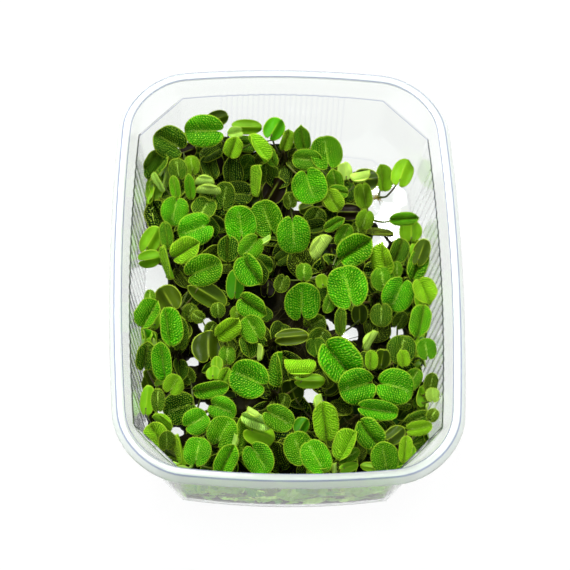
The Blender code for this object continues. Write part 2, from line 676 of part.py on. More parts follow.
def tray_outline(half_x, half_y, corner, rounded, flute):
    """One ring of the tray with bowed sides, rounded or cut corners and optional flutes"""
    points = []
    for turn in range(4):
        long_side = turn % 2 == 0
        reach, run = (half_x, half_y) if long_side else (half_y, half_x)
        count = 2 * (LONG_FLUTES if long_side else SHORT_FLUTES)
        limit = LONG_FLUTE_HALF if long_side else SHORT_FLUTE_HALF
        points.append((turn, reach, corner - run, True))
        for i in range(count + 1):
            dip = flute if i % 2 == 1 else 0.0
            points.append((turn, reach - dip, limit * (2.0 * i / count - 1.0), i % FLUTES_PER_STOP == 0))
        for i in range(CORNER_STEPS):
            part = i / CORNER_STEPS
            turned = 0.5 * math.pi * part
            off = corner * (1.0 - math.cos(turned)) if rounded else corner * part
            ahead = corner * math.sin(turned) if rounded else corner * part
            points.append((turn, reach - off, run - corner + ahead, True))
    ring = []
    for turn, out, t, stop in points:
        x, y = ((out, t), (-t, out), (-out, -t), (t, -out))[turn]
        bent = (x * (1.0 - BOW_X / half_x * (y / half_y) ** 2), y * (1.0 - BOW_Y / half_y * (x / half_x) ** 2))
        ring.append((bent, stop or flute > 0.0, stop))
    return ring


def tray_rows():
    """Height, half sizes, corner, rounding, flute depth and growth of each ring, base to lip to floor"""
    sx = RIM_HALF_X - SHOULDER_INSET
    sy = RIM_HALF_Y - SHOULDER_INSET
    bx = RIM_HALF_X - BASE_INSET
    by = RIM_HALF_Y - BASE_INSET
    shoulder = HEIGHT - SHOULDER_DROP
    rise = FLUTE_FOOT / shoulder
    low_x = bx + (sx - bx) * rise
    low_y = by + (sy - by) * rise
    skirt = CREST_WIDTH + SKIRT_WIDTH
    rim = (RIM_HALF_X, RIM_HALF_Y, RIM_RADIUS, True, 0.0)
    return (
        (0.0, bx - BASE_EDGE, by - BASE_EDGE, BASE_CHAMFER, False, 0.0, 0.0),
        (BASE_EDGE, bx, by, BASE_CHAMFER, False, 0.0, 0.0),
        (FLUTE_FOOT, low_x, low_y, BASE_CHAMFER, False, FLUTE_DEPTH, 0.0),
        (shoulder - FLUTE_FADE, sx, sy, SHOULDER_CHAMFER, False, FLUTE_DEPTH, 0.0),
        (shoulder, sx, sy, SHOULDER_CHAMFER, False, 0.0, 0.0),
        (HEIGHT - 1.6, *rim, WALL),
        (HEIGHT - LIP_THICKNESS, *rim, CREST_WIDTH - 0.5),
        (HEIGHT - SKIRT_DROP - LIP_THICKNESS, *rim, skirt - 0.4),
        (HEIGHT - SKIRT_DROP, *rim, skirt),
        (HEIGHT, *rim, CREST_WIDTH),
        (HEIGHT, *rim, 0.0),
        (shoulder, sx, sy, SHOULDER_CHAMFER, False, 0.0, -WALL),
        (shoulder - FLUTE_FADE, sx, sy, SHOULDER_CHAMFER, False, FLUTE_DEPTH, -WALL),
        (FLUTE_FOOT, low_x, low_y, BASE_CHAMFER, False, FLUTE_DEPTH, -WALL),
        (BASE_EDGE + FLOOR, bx, by, BASE_CHAMFER, False, 0.0, -WALL),
        (FLOOR, bx - BASE_EDGE, by - BASE_EDGE, BASE_CHAMFER, False, 0.0, -WALL),
    )


def tray_solid():
    """Closed tray body, skinned ring by ring, with its base and floor filled"""
    shape = bmesh.new()
    rings = []
    for z, half_x, half_y, corner, rounded, flute, grow in tray_rows():
        corner += grow if rounded else 0.0
        ring = []
        for (x, y), used, stop in tray_outline(half_x + grow, half_y + grow, corner, rounded, flute):
            ring.append((shape.verts.new((x, y, z)) if used else None, stop))
        rings.append(ring)
    count = len(rings[0])
    stops = [i for i in range(count) if rings[0][i][1]]
    for lower, upper in zip(rings, rings[1:]):
        both = all(lower[i][0] and upper[i][0] for i in range(count))
        marks = range(count) if both else stops
        for start, end in zip(marks, list(marks[1:]) + [count + marks[0]]):
            span = range(start, end + 1)
            below = [lower[i % count][0] for i in span if lower[i % count][0]]
            above = [upper[i % count][0] for i in span if upper[i % count][0]]
            shape.faces.new(below + above[::-1])
    shape.faces.new([vert for vert, stop in rings[0] if vert][::-1])
    shape.faces.new([vert for vert, stop in rings[-1] if vert])
    bmesh.ops.triangulate(shape, faces=shape.faces[:])
    bmesh.ops.recalc_face_normals(shape, faces=shape.faces)
    return taken(shape)


def main():
    """Build the tray, the root tangle and every sprig"""
    clear_scene()
    solid_object("tray", *tray_solid(), "tray")
    rows = LEAVES + buried_leaves()
    sprigs = []
    placed = []
    samples = []
    for number, group in enumerate(sprig_groups(), 1):
        solids, hub = sprig_solids(group, rows, 0.0)
        swollen = merged(sprig_solids(group, rows, CLEARANCE)[0], Vector())
        ray = leaf_place(rows[group[0]], group[0])[7]
        move = settled(merged(solids, Vector()), swollen, ray, placed)
        if move is None:
            continue
        final = merged(solids, move)
        placed.append((box_of(final[0]), BVHTree.FromPolygons(*final)))
        samples += edge_points(*final)
        moved = [([p + move for p in points], polys) for points, polys in solids]
        sprigs.append((f"spangle_{number:02d}", moved, hub + move))
    ground = []
    for number, tangle in enumerate(tangle_solids(samples), 1):
        solid_object(f"root_tangle_{number}", *tangle, "root_tangle")
        ground.append((box_of(tangle[0]), BVHTree.FromPolygons(*tangle)))
    tufts = []
    for i, (name, solids, hub) in enumerate(sprigs):
        tuft, room = tuft_solid(hub, placed[:i] + placed[i + 1:] + ground + tufts)
        tufts += room
        united_object(name, solids + tuft, "spangle")


main()
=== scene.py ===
"""Looks of the water spangles in their clear tray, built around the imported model."""
import math
import random

import bpy
import bmesh
import numpy as np
from bpy.props import FloatProperty, FloatVectorProperty, IntProperty, PointerProperty
from mathutils import Matrix, Vector, noise as field


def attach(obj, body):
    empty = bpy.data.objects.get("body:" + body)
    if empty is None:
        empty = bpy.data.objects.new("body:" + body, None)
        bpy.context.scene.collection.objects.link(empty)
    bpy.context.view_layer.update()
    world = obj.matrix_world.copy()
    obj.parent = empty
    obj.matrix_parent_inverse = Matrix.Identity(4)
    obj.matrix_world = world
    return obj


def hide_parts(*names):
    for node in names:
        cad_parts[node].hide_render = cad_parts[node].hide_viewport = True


bl_info = {
    "name": "Water Spangles Tray",
    "version": (1, 0, 0),
    "blender": (4, 5, 0),
    "location": "View3D > Sidebar > Spangles",
    "description": "Clear tray of floating fern sprigs with hairy leaves, stalks and roots",
    "category": "Object",
}

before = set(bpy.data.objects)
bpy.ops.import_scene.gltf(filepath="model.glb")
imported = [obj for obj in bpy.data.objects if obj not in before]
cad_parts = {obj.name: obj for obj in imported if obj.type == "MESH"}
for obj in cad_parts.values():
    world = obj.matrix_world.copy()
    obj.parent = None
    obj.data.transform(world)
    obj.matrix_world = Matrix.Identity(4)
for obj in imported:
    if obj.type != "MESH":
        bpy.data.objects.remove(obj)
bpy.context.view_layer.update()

# Lengths are in millimetres until a finished mesh is scaled to metres
MM = 0.001
SEED = 2459

# Tray sizes: half extents of the inner rim edge, then offsets from it
RIM_HALF_X = 63.5
RIM_HALF_Y = 88.8
RIM_RADIUS = 21.3
BOW_X = 4.1
BOW_Y = 5.0
HEIGHT = 45.6
CREST_WIDTH = 2.55
CREST_EDGE = 3.1
SKIRT_WIDTH = 2.4
SKIRT_DROP = 2.6
LIP_THICKNESS = 0.8
WALL = 0.75
SHOULDER_INSET = 2.25
SHOULDER_DROP = 8.5
SHOULDER_CHAMFER = 16.9
BASE_INSET = 7.45
BASE_CHAMFER = 13.6
FLOOR = 0.9
BASE_EDGE = 1.5
BASE_ROUND = 0.5
FLUTE_DEPTH = 0.8
FLUTE_WAVE = 0.18
# Strength of the painted shade line along each flute
FLUTE_SHADE_LINE = 0.055
RIM_FOOT = 42.0
FLUTE_FOOT = 4.0
FLUTE_FADE = 1.2
LONG_FLUTES = 24
SHORT_FLUTES = 12
LONG_FLUTE_HALF = 56.0
SHORT_FLUTE_HALF = 28.0
CORNER_BOW = 0.66

# Camera: direction in degrees, distance in millimetres, focal length and centre in picture pixels
VIEW_RISE = 59.36
VIEW_TURN = 5.0
VIEW_ROLL = 4.85
VIEW_DISTANCE = 992.7
VIEW_FOCAL = 2568.0
VIEW_CENTRE = (287.0, 266.0)
PICTURE = 570
SENSOR = 36.0

# Sprig places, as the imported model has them
LEAF_THICKNESS = 0.7
STALK_RADIUS = 0.75
HUB_DEPTH = 4.0
SMALLEST_LEAF = 19
SPRIG_REACH = 32.0
LONE_REACH = 44.0
SPRIG_LEAVES = 4
LAYER_HEIGHT = (30.0, 25.5, 17.0, 8.5, 12.5)
LAYER_RANK = (1.0, 0.35, 0.1, 1.5)
# Brightness factor of each layer's leaves: painted light on the top layer, painted shade on the lower and buried ones
LAYER_PAINTED_LIGHT = (1.1, 0.8, 0.5, 1.0, 0.3)
BURIED_SPRIGS = 8
BURIED_LEAVES = 3

# Each leaf: picture x, y, length, width in pixels, heading in degrees, shape, tone, layer
# Shapes: F flat, V folded, C closed, U underside, S side on, E edge on, K cupped
# Tones: b bright, m mid green, d dark, l lime, p pale, o olive, n brown
LEAVES = (
    (204, 131, 41, 33, 180, "F", "b", 0), (169, 142, 35, 33, 150, "F", "d", 1),
    (148, 160, 27, 22, 60, "V", "d", 1), (156, 168, 31, 15, 60, "S", "d", 1),
    (150, 189, 29, 19, 270, "U", "l", 1), (159, 181, 22, 6, 120, "E", "p", 0),
    (166, 177, 22, 7, 80, "E", "p", 0), (178, 169, 22, 19, 100, "F", "d", 1),
    (192, 165, 19, 15, 100, "F", "l", 1), (212, 165, 26, 29, 90, "U", "n", 2),
    (217, 119, 24, 16, 20, "U", "o", 1), (233, 133, 17, 12, 10, "K", "p", 0),
    (233, 147, 22, 20, 250, "V", "l", 0), (247, 127, 31, 13, 0, "U", "l", 1),
    (274, 129, 24, 21, 60, "U", "m", 0), (259, 148, 32, 16, 300, "S", "l", 0),
    (270, 156, 24, 12, 300, "V", "m", 1), (267, 173, 23, 23, 100, "F", "d", 2),
    (256, 180, 32, 9, 95, "E", "l", 1), (274, 189, 28, 24, 60, "U", "n", 2),
    (175, 187, 24, 10, 100, "V", "m", 0), (190, 186, 26, 9, 95, "V", "m", 0),
    (204, 180, 20, 10, 175, "C", "p", 0), (208, 189, 26, 10, 175, "C", "p", 0),
    (224, 196, 30, 22, 80, "F", "d", 2), (175, 211, 30, 28, 260, "F", "b", 0),
    (203, 211, 27, 24, 60, "K", "d", 1), (195, 229, 36, 33, 200, "F", "b", 0),
    (241, 223, 37, 31, 100, "F", "b", 0), (267, 217, 37, 32, 110, "F", "m", 1),
    (293, 235, 39, 34, 275, "F", "b", 0), (166, 235, 27, 13, 280, "V", "m", 1),
    (148, 240, 31, 20, 60, "U", "l", 1), (150, 259, 24, 18, 10, "U", "l", 1),
    (186, 252, 31, 25, 30, "V", "l", 0), (167, 262, 35, 10, 290, "E", "l", 1),
    (287, 138, 22, 10, 60, "S", "l", 1), (302, 137, 26, 17, 95, "V", "m", 1),
    (327, 152, 35, 32, 100, "F", "m", 1), (307, 160, 30, 21, 175, "F", "m", 1),
    (309, 186, 36, 35, 290, "F", "b", 0), (335, 180, 22, 17, 100, "V", "m", 1),
    (345, 171, 19, 15, 100, "U", "p", 0), (360, 177, 21, 15, 10, "C", "p", 0),
    (366, 180, 26, 23, 0, "U", "o", 2), (338, 192, 21, 13, 350, "V", "m", 1),
    (363, 195, 26, 18, 280, "V", "l", 1), (333, 201, 24, 20, 300, "V", "l", 1),
    (349, 212, 25, 17, 0, "U", "n", 2), (365, 220, 21, 17, 250, "F", "l", 1),
    (384, 177, 28, 18, 95, "V", "l", 3), (403, 172, 29, 21, 70, "U", "l", 3),
    (405, 219, 29, 14, 5, "V", "m", 0), (411, 231, 23, 23, 90, "U", "l", 1),
    (380, 232, 28, 9, 0, "E", "n", 2), (314, 219, 26, 22, 60, "F", "d", 2),
    (335, 225, 23, 11, 30, "V", "m", 1), (344, 235, 24, 16, 60, "F", "m", 1),
    (358, 230, 17, 13, 90, "F", "d", 2), (321, 247, 29, 22, 55, "C", "p", 0),
    (205, 270, 40, 31, 20, "F", "m", 0), (228, 247, 27, 22, 90, "V", "d", 1),
    (206, 253, 28, 12, 25, "E", "o", 1), (251, 248, 28, 24, 230, "F", "m", 0),
    (264, 240, 14, 8, 30, "C", "p", 0), (248, 268, 34, 32, 305, "V", "b", 0),
    (235, 284, 31, 18, 85, "U", "m", 1), (253, 306, 32, 27, 330, "V", "m", 0),
    (208, 294, 44, 22, 330, "U", "o", 1), (168, 298, 28, 26, 120, "U", "o", 1),
    (150, 297, 15, 11, 90, "F", "m", 1), (143, 315, 32, 24, 60, "V", "m", 0),
    (155, 320, 19, 10, 80, "U", "l", 1), (171, 325, 40, 24, 95, "V", "b", 0),
    (180, 333, 35, 16, 90, "F", "d", 1), (237, 313, 14, 14, 90, "F", "l", 1),
    (228, 328, 29, 21, 40, "V", "l", 0), (253, 328, 29, 25, 120, "F", "m", 0),
    (249, 345, 24, 24, 100, "V", "d", 1), (218, 310, 15, 14, 90, "F", "d", 1),
    (208, 347, 34, 33, 90, "U", "o", 2), (144, 355, 29, 22, 80, "V", "d", 1),
    (162, 360, 39, 20, 95, "V", "b", 0), (260, 352, 17, 6, 85, "C", "p", 0),
    (227, 355, 19, 16, 90, "F", "m", 1), (217, 364, 15, 12, 90, "U", "l", 1),
    (213, 373, 14, 14, 90, "U", "l", 1), (225, 375, 17, 14, 60, "V", "l", 1),
    (249, 379, 41, 38, 155, "F", "b", 0), (276, 367, 35, 16, 85, "S", "m", 1),
    (212, 390, 37, 17, 10, "V", "m", 0), (174, 385, 21, 21, 60, "F", "l", 0),
    (355, 251, 38, 30, 35, "V", "m", 0), (348, 286, 43, 41, 105, "F", "b", 0),
    (302, 300, 39, 37, 90, "F", "b", 0), (398, 295, 36, 32, 245, "F", "b", 0),
    (383, 279, 25, 24, 100, "F", "m", 1), (399, 250, 26, 18, 70, "V", "d", 1),
    (418, 263, 34, 20, 70, "V", "m", 1), (425, 252, 29, 17, 70, "U", "o", 1),
    (382, 257, 33, 20, 95, "S", "l", 0), (397, 269, 15, 11, 90, "F", "m", 1),
    (425, 291, 28, 22, 290, "V", "l", 0), (420, 320, 34, 21, 80, "V", "m", 0),
    (381, 315, 24, 22, 270, "F", "d", 1), (376, 299, 15, 15, 90, "F", "d", 2),
    (360, 314, 21, 16, 90, "U", "o", 2), (340, 321, 29, 10, 90, "V", "d", 1),
    (400, 320, 19, 14, 60, "F", "d", 2), (370, 340, 23, 18, 60, "C", "p", 0),
    (401, 349, 30, 29, 80, "F", "d", 1), (403, 358, 17, 15, 100, "V", "l", 0),
    (427, 349, 22, 20, 100, "F", "b", 1), (319, 340, 25, 24, 60, "F", "d", 2),
    (315, 324, 22, 22, 30, "F", "d", 2), (304, 272, 18, 16, 90, "F", "m", 1),
    (322, 281, 14, 12, 100, "U", "l", 1), (330, 303, 22, 12, 250, "F", "m", 1),
    (340, 363, 48, 40, 310, "V", "b", 0), (357, 386, 38, 37, 195, "F", "b", 0),
    (396, 386, 38, 36, 345, "F", "b", 0), (371, 359, 19, 13, 85, "V", "l", 0),
    (382, 359, 21, 16, 80, "U", "o", 1), (292, 337, 34, 14, 5, "U", "o", 1),
    (300, 368, 33, 21, 180, "C", "l", 0), (310, 381, 31, 15, 0, "U", "l", 1),
    (293, 391, 27, 21, 110, "U", "o", 2), (433, 395, 15, 14, 90, "F", "p", 1),
    (413, 378, 23, 17, 60, "F", "m", 1), (431, 383, 22, 14, 80, "F", "d", 1),
    (179, 408, 34, 33, 200, "F", "d", 1), (147, 400, 31, 14, 85, "U", "l", 0),
    (158, 400, 24, 14, 90, "F", "d", 1), (162, 422, 25, 20, 320, "C", "l", 0),
    (223, 409, 29, 25, 335, "F", "b", 0), (196, 422, 28, 27, 30, "F", "b", 0),
    (222, 433, 33, 32, 60, "F", "m", 0), (235, 440, 15, 7, 80, "C", "p", 0),
    (241, 434, 42, 8, 80, "E", "l", 1), (260, 433, 33, 26, 340, "U", "l", 1),
    (258, 421, 33, 16, 340, "V", "p", 0), (259, 458, 36, 30, 300, "F", "b", 0),
    (226, 460, 34, 20, 60, "V", "m", 0), (197, 451, 30, 28, 80, "F", "b", 0),
    (180, 449, 32, 8, 95, "E", "l", 1), (152, 441, 30, 26, 120, "V", "l", 0),
    (167, 440, 20, 17, 90, "F", "d", 1), (254, 412, 14, 9, 150, "C", "p", 0),
    (279, 418, 33, 26, 330, "F", "m", 0), (319, 402, 18, 15, 100, "C", "p", 0),
    (325, 421, 40, 26, 280, "V", "l", 0), (377, 411, 38, 20, 350, "K", "b", 0),
    (301, 426, 18, 16, 60, "U", "m", 1), (299, 448, 35, 30, 110, "F", "m", 1),
    (316, 457, 38, 29, 120, "F", "b", 0), (319, 470, 25, 6, 0, "E", "l", 1),
    (345, 445, 34, 22, 60, "S", "l", 0), (369, 435, 34, 29, 310, "V", "m", 0),
    (385, 457, 33, 28, 100, "F", "m", 0), (349, 456, 25, 12, 30, "F", "m", 1),
    (349, 467, 20, 10, 20, "U", "l", 1), (369, 467, 18, 9, 170, "U", "l", 1),
    (334, 468, 11, 8, 90, "C", "p", 1), (405, 449, 28, 13, 85, "V", "l", 0),
    (420, 428, 28, 15, 10, "F", "l", 0), (419, 419, 29, 14, 20, "F", "d", 1),
    (433, 415, 14, 12, 60, "F", "d", 1), (395, 435, 23, 17, 40, "U", "o", 1),
    (347, 426, 24, 20, 60, "U", "o", 2), (412, 456, 17, 13, 60, "U", "l", 1),
    (338, 406, 25, 12, 20, "F", "d", 2),
)

# Small leaves that fill the heap between the others
FILLERS = (
    (188, 151, 18, 16, 20, "U", "n", 2), (166, 166, 18, 15, 40, "F", "d", 2), (222, 338, 18, 15, 140, "U", "o", 4),
    (236, 344, 17, 14, 60, "F", "d", 4), (283, 258, 18, 15, 30, "F", "d", 4), (290, 200, 17, 14, 100, "F", "d", 2),
    (306, 208, 16, 12, 200, "U", "o", 2), (282, 284, 18, 15, 250, "F", "d", 2), (228, 398, 17, 14, 10, "U", "o", 4),
    (190, 312, 18, 16, 70, "F", "d", 2), (352, 303, 16, 13, 300, "F", "d", 2), (188, 375, 18, 15, 120, "F", "d", 2),
    (330, 388, 16, 13, 30, "U", "o", 2), (404, 402, 18, 15, 340, "F", "d", 2), (420, 402, 16, 13, 60, "F", "m", 2),
    (163, 384, 16, 13, 20, "U", "l", 2), (283, 402, 17, 15, 70, "F", "d", 2), (238, 262, 16, 13, 20, "F", "d", 2),
    (211, 329, 15, 13, 60, "F", "d", 2), (198, 317, 14, 12, 150, "F", "d", 2),
)

# Fold of each half, lean of the tip, roll about the midrib and the side that faces the viewer
SHAPES = {
    "F": (9.0, 6.0, 4.0, 1),
    "V": (38.0, 4.0, 10.0, 1),
    "C": (60.0, 4.0, 12.0, 1),
    "U": (14.0, 8.0, 6.0, -1),
    "S": (40.0, 4.0, 42.0, 1),
    "E": (24.0, 4.0, 62.0, 1),
    "K": (24.0, 34.0, 4.0, 1),
}

# Places in the picture where the bare floor shows: x, y and radius
FLOOR_GAPS = (
    (382, 208, 15), (380, 239, 8), (350, 330, 8), (330, 322, 6), (395, 329, 7), (205, 321, 7),
    (193, 360, 6), (152, 276, 16), (141, 385, 6), (202, 406, 8), (207, 421, 6), (165, 407, 6),
    (178, 429, 6), (300, 202, 9), (312, 394, 9), (423, 372, 5), (402, 206, 10),
)

# Edge of the heap in the picture
HEAP_EDGE = (
    (146, 160), (165, 138), (205, 128), (245, 132), (300, 134), (338, 150), (366, 176), (372, 214),
    (396, 232), (428, 236), (432, 300), (432, 400), (428, 440), (398, 462), (300, 468), (200, 462),
    (158, 446), (142, 400), (140, 330), (152, 296), (166, 280), (152, 262), (143, 240), (140, 190),
)

# Edge of the root mat in the picture, out to the front wall
MAT_EDGE = (
    (148, 168), (170, 146), (205, 136), (245, 138), (300, 140), (334, 158), (360, 182), (368, 216),
    (396, 238), (428, 240), (434, 300), (436, 400), (430, 446), (390, 499), (300, 507), (182, 499),
    (152, 448), (142, 400), (140, 330), (152, 300), (166, 284), (154, 262), (146, 240), (144, 190),
)

# Half outline of a leaf from the basal notch to the tip: along and across as fractions
SMALL_OUTLINE = ((0.04, 0.0), (0.24, 0.92), (0.8, 0.86), (1.0, 0.0))
LARGE_OUTLINE = ((0.06, 0.0), (0.1, 0.72), (0.55, 1.0), (0.9, 0.62), (1.0, 0.0))

# Colour of each tone as a picture shows it, red, green and blue out of 255
TONES = {
    "b": (56, 142, 0),
    "m": (61, 134, 0),
    "d": (31, 85, 0),
    "l": (110, 166, 14),
    "p": (172, 214, 92),
    "o": (66, 90, 4),
    "n": (38, 26, 4),
}

# Bulge of each half, droop of the rim and height of the edge waves, as shares of the half width,
# then how much fuller than a disc the outline is
BENDS = {
    "F": (0.15, 0.11, 0.04, 0.04),
    "V": (0.24, 0.03, 0.045, 0.12),
    "C": (0.26, 0.02, 0.015, 0.03),
    "U": (0.18, 0.1, 0.04, 0.05),
    "S": (0.24, 0.04, 0.045, 0.12),
    "E": (0.24, 0.06, 0.03, 0.14),
    "K": (0.14, -0.3, 0.03, 0.06),
}

# Basal notch and tip dent of a leaf on its unit disc
NOTCH_DEPTH = 0.46
NOTCH_WIDTH = 0.12
LOBE_PULL = 0.4
LOBE_WIDTH = 0.16
DENT_DEPTH = 0.03
DENT_WIDTH = 0.12
CREASE = 0.18
SLANT = 0.55
BLADE = 0.42
LEAF_TILT = 15.0
CLOSED_TURN = 58.0
CLOSED_FOLD = 78.0
LOW_LEAVES = 5
MAT_DEPTH = 4.5
STALK_DROP = 6.0
SLIDES = range(-6, 9)
SLIDE_COST = 0.2

# Side of a leaf a stalk or root belongs to
FACE, BACK, HAIR, STALK, ROOT = range(5)


def linear(red, green, blue):
    """Scene colour of a picture colour given out of 255"""
    return tuple(c / 3294.6 if c <= 10.3 else ((c / 255.0 + 0.055) / 1.055) ** 2.4 for c in (red, green, blue))


class TrayProperties(bpy.types.PropertyGroup):
    """Finish of the tray"""
    tint: FloatVectorProperty(
        name="Tint", description="Colour the plastic gives to what is behind it",
        default=(0.93, 0.955, 0.935), size=3, min=0.0, max=1.0, subtype="COLOR",
    )
    rim_tint: FloatVectorProperty(
        name="Rim Tint", description="Colour of the thicker plastic of the rim",
        default=(0.78, 0.83, 0.79), size=3, min=0.0, max=1.0, subtype="COLOR",
    )
    clearness: FloatProperty(
        name="Clearness", description="Share of the light that passes the walls", default=0.97, min=0.0, max=1.0,
    )
    rim_clearness: FloatProperty(
        name="Rim Clearness", description="Share of the light that passes the rim", default=0.64, min=0.0, max=1.0,
    )
    # Painted shade lines along the tray's bends and flutes take this colour
    edge: FloatVectorProperty(
        name="Edge", description="Colour of the thin lines along the tray's bends",
        default=(0.08, 0.12, 0.36), size=3, min=0.0, max=1.0, subtype="COLOR",
    )
    roughness: FloatProperty(name="Roughness", description="Blur of the plastic", default=0.1, min=0.0, max=1.0)
    ior: FloatProperty(name="IOR", description="Refraction of the thin walls", default=1.2, min=1.0, max=2.0)
    gloss: FloatProperty(name="Gloss", description="Strength of the reflections", default=0.25, min=0.0, max=1.0)
    spacing: FloatProperty(
        name="Point Spacing", description="Distance between points along the rim, in millimetres",
        default=0.58, min=0.4, max=5.0,
    )


class SprigProperties(bpy.types.PropertyGroup):
    """Sizes and colours of leaves, hairs and stalks"""
    cells: IntProperty(name="Leaf Cells", description="Faces across a leaf", default=16, min=6, max=40)
    rows: IntProperty(name="Hair Rows", description="Rows of hairs along a leaf", default=16, min=4, max=30)
    columns: IntProperty(name="Hair Columns", description="Hairs from midrib to rim", default=8, min=2, max=15)
    hair_length: FloatProperty(
        name="Hair Length", description="Length of a hair on the upper face, in millimetres",
        default=0.62, min=0.1, max=3.0,
    )
    hair_radius: FloatProperty(
        name="Hair Radius", description="Radius of a hair at its foot, in millimetres",
        default=0.18, min=0.02, max=1.0,
    )
    hair_tip: FloatVectorProperty(
        name="Hair Tip", description="Colour of the hair tips", default=linear(190, 230, 62), size=3,
        min=0.0, max=1.0, subtype="COLOR",
    )
    rim: FloatVectorProperty(
        name="Rim", description="Colour of a leaf's rim", default=linear(176, 202, 50), size=3,
        min=0.0, max=1.0, subtype="COLOR",
    )
    stalk: FloatVectorProperty(
        name="Stalk", description="Colour of the stalks", default=linear(92, 112, 24), size=3,
        min=0.0, max=1.0, subtype="COLOR",
    )


class RootProperties(bpy.types.PropertyGroup):
    """Sizes and colours of the roots"""
    threads: IntProperty(name="Threads", description="Root threads under each sprig", default=34, min=0, max=200)
    length: FloatProperty(
        name="Length", description="Longest root thread, in millimetres", default=24.0, min=2.0, max=60.0,
    )
    radius: FloatProperty(
        name="Radius", description="Radius of a root thread, in millimetres", default=0.16, min=0.02, max=1.0,
    )
    mat_threads: IntProperty(
        name="Mat Threads", description="Threads of the root mat on the floor", default=900, min=0, max=4000,
    )
    old_leaves: IntProperty(
        name="Old Leaves", description="Dead leaves lying in the root mat", default=120, min=0, max=400,
    )
    wall_leaves: IntProperty(
        name="Wall Leaves", description="Leaves that stand against the tray's walls", default=330, min=0, max=400,
    )
    colour: FloatVectorProperty(
        name="Colour", description="Colour of wet roots", default=linear(34, 32, 8), size=3,
        min=0.0, max=1.0, subtype="COLOR",
    )


class StageProperties(bpy.types.PropertyGroup):
    """Floor and light"""
    floor: FloatVectorProperty(
        name="Floor", description="Colour of the floor", default=(0.05, 0.05, 0.05), size=3,
        min=0.0, max=1.0, subtype="COLOR",
    )
    glow: FloatProperty(name="Glow", description="Light that the floor gives by itself", default=0.95, min=0.0)
    sky: FloatProperty(name="Sky", description="Strength of the light from all round", default=0.88, min=0.0)
    lamp: FloatProperty(
        name="Lamp", description="Power of the soft lamp overhead", default=34.0, min=0.0, subtype="POWER",
    )


def view_axes():
    """Right, up and forward of the viewing direction"""
    rise = math.radians(VIEW_RISE)
    turn = math.radians(-VIEW_TURN)
    right = Vector((math.cos(turn), math.sin(turn), 0.0))
    level = Vector((-math.sin(turn), math.cos(turn), 0.0))
    forward = level * math.cos(rise) - Vector((0.0, 0.0, math.sin(rise)))
    up = level * math.sin(rise) + Vector((0.0, 0.0, math.cos(rise)))
    return right, up, forward


def view_point(x, y, height):
    """Point at a given height behind a picture point, the direction to it and the scale there"""
    right, up, forward = view_axes()
    roll = math.radians(VIEW_ROLL)
    dx = x - VIEW_CENTRE[0]
    dy = y - VIEW_CENTRE[1]
    across = math.cos(roll) * dx + math.sin(roll) * dy
    down = -math.sin(roll) * dx + math.cos(roll) * dy
    ray = forward + right * (across / VIEW_FOCAL) - up * (down / VIEW_FOCAL)
    eye = Vector((0.0, 0.0, HEIGHT)) - forward * VIEW_DISTANCE
    reach = (height - eye.z) / ray.z
    return eye + ray * reach, ray.normalized(), reach / VIEW_FOCAL


def picture_point(point):
    """Picture place of a point"""
    right, up, forward = view_axes()
    offset = point - Vector((0.0, 0.0, HEIGHT)) + forward * VIEW_DISTANCE
    scale = VIEW_FOCAL / offset.dot(forward)
    across = offset.dot(right) * scale
    down = -offset.dot(up) * scale
    roll = math.radians(VIEW_ROLL)
    x = VIEW_CENTRE[0] + math.cos(roll) * across - math.sin(roll) * down
    y = VIEW_CENTRE[1] + math.sin(roll) * across + math.cos(roll) * down
    return x, y


def in_heap(x, y, room, edge=HEAP_EDGE):
    """True where plants cover the floor in the picture"""
    inside = False
    count = len(edge)
    for i in range(count):
        ax, ay = edge[i]
        bx, by = edge[(i + 1) % count]
        if (ay > y) != (by > y) and x < ax + (bx - ax) * (y - ay) / (by - ay):
            inside = not inside
    return inside and all(math.dist((x, y), gap[:2]) > gap[2] + room for gap in FLOOR_GAPS)


def covered(points, room):
    """True where no point of a thread or leaf shows over a bare place of the floor"""
    return all(in_heap(*picture_point(Vector(point)), room, MAT_EDGE) for point in points)


def leaf_frame(heading, lean, roll, side, ray):
    """Length, width and upper-face directions of a leaf"""
    right, up, forward = view_axes()
    turn = math.radians(VIEW_ROLL)
    flat = right * math.cos(turn) + up * math.sin(turn)
    steep = up * math.cos(turn) - right * math.sin(turn)
    out = -ray
    angle = math.radians(heading)
    along = flat * math.cos(angle) + steep * math.sin(angle)
    across = along.cross(out)
    tip = math.radians(lean)
    along, out = along * math.cos(tip) - out * math.sin(tip), out * math.cos(tip) + along * math.sin(tip)
    twist = math.radians(roll)
    side_on = across * math.cos(twist) + out * math.sin(twist)
    out = out * math.cos(twist) - across * math.sin(twist)
    return along, side_on, out * side


def leaf_place(leaf, index):
    """Base point, frame, size and fold of one leaf before its sprig is sunk"""
    x, y, length, width, heading, shape, tone, layer = leaf
    rng = random.Random(SEED + index)
    fold, lean, roll, side = SHAPES[shape]
    lean = lean * rng.choice((-1.0, 1.0)) + rng.uniform(-6.0, 6.0)
    if shape == "K":
        lean = abs(lean)
    roll = roll * rng.choice((-1.0, 1.0)) + rng.uniform(-6.0, 6.0)
    height = LAYER_HEIGHT[layer] + rng.uniform(-1.5, 1.5)
    centre, ray, scale = view_point(x, y, height)
    long = length * scale / math.cos(math.radians(lean))
    wide = width * scale / (math.cos(math.radians(fold)) * math.cos(math.radians(roll)))
    wide = min(max(wide, 0.5 * long), 1.02 * long)
    along, across, out = leaf_frame(heading, lean, roll, side, ray)
    base = centre - along * (0.5 * long)
    return base, along, across, out, long, wide, math.radians(fold), ray


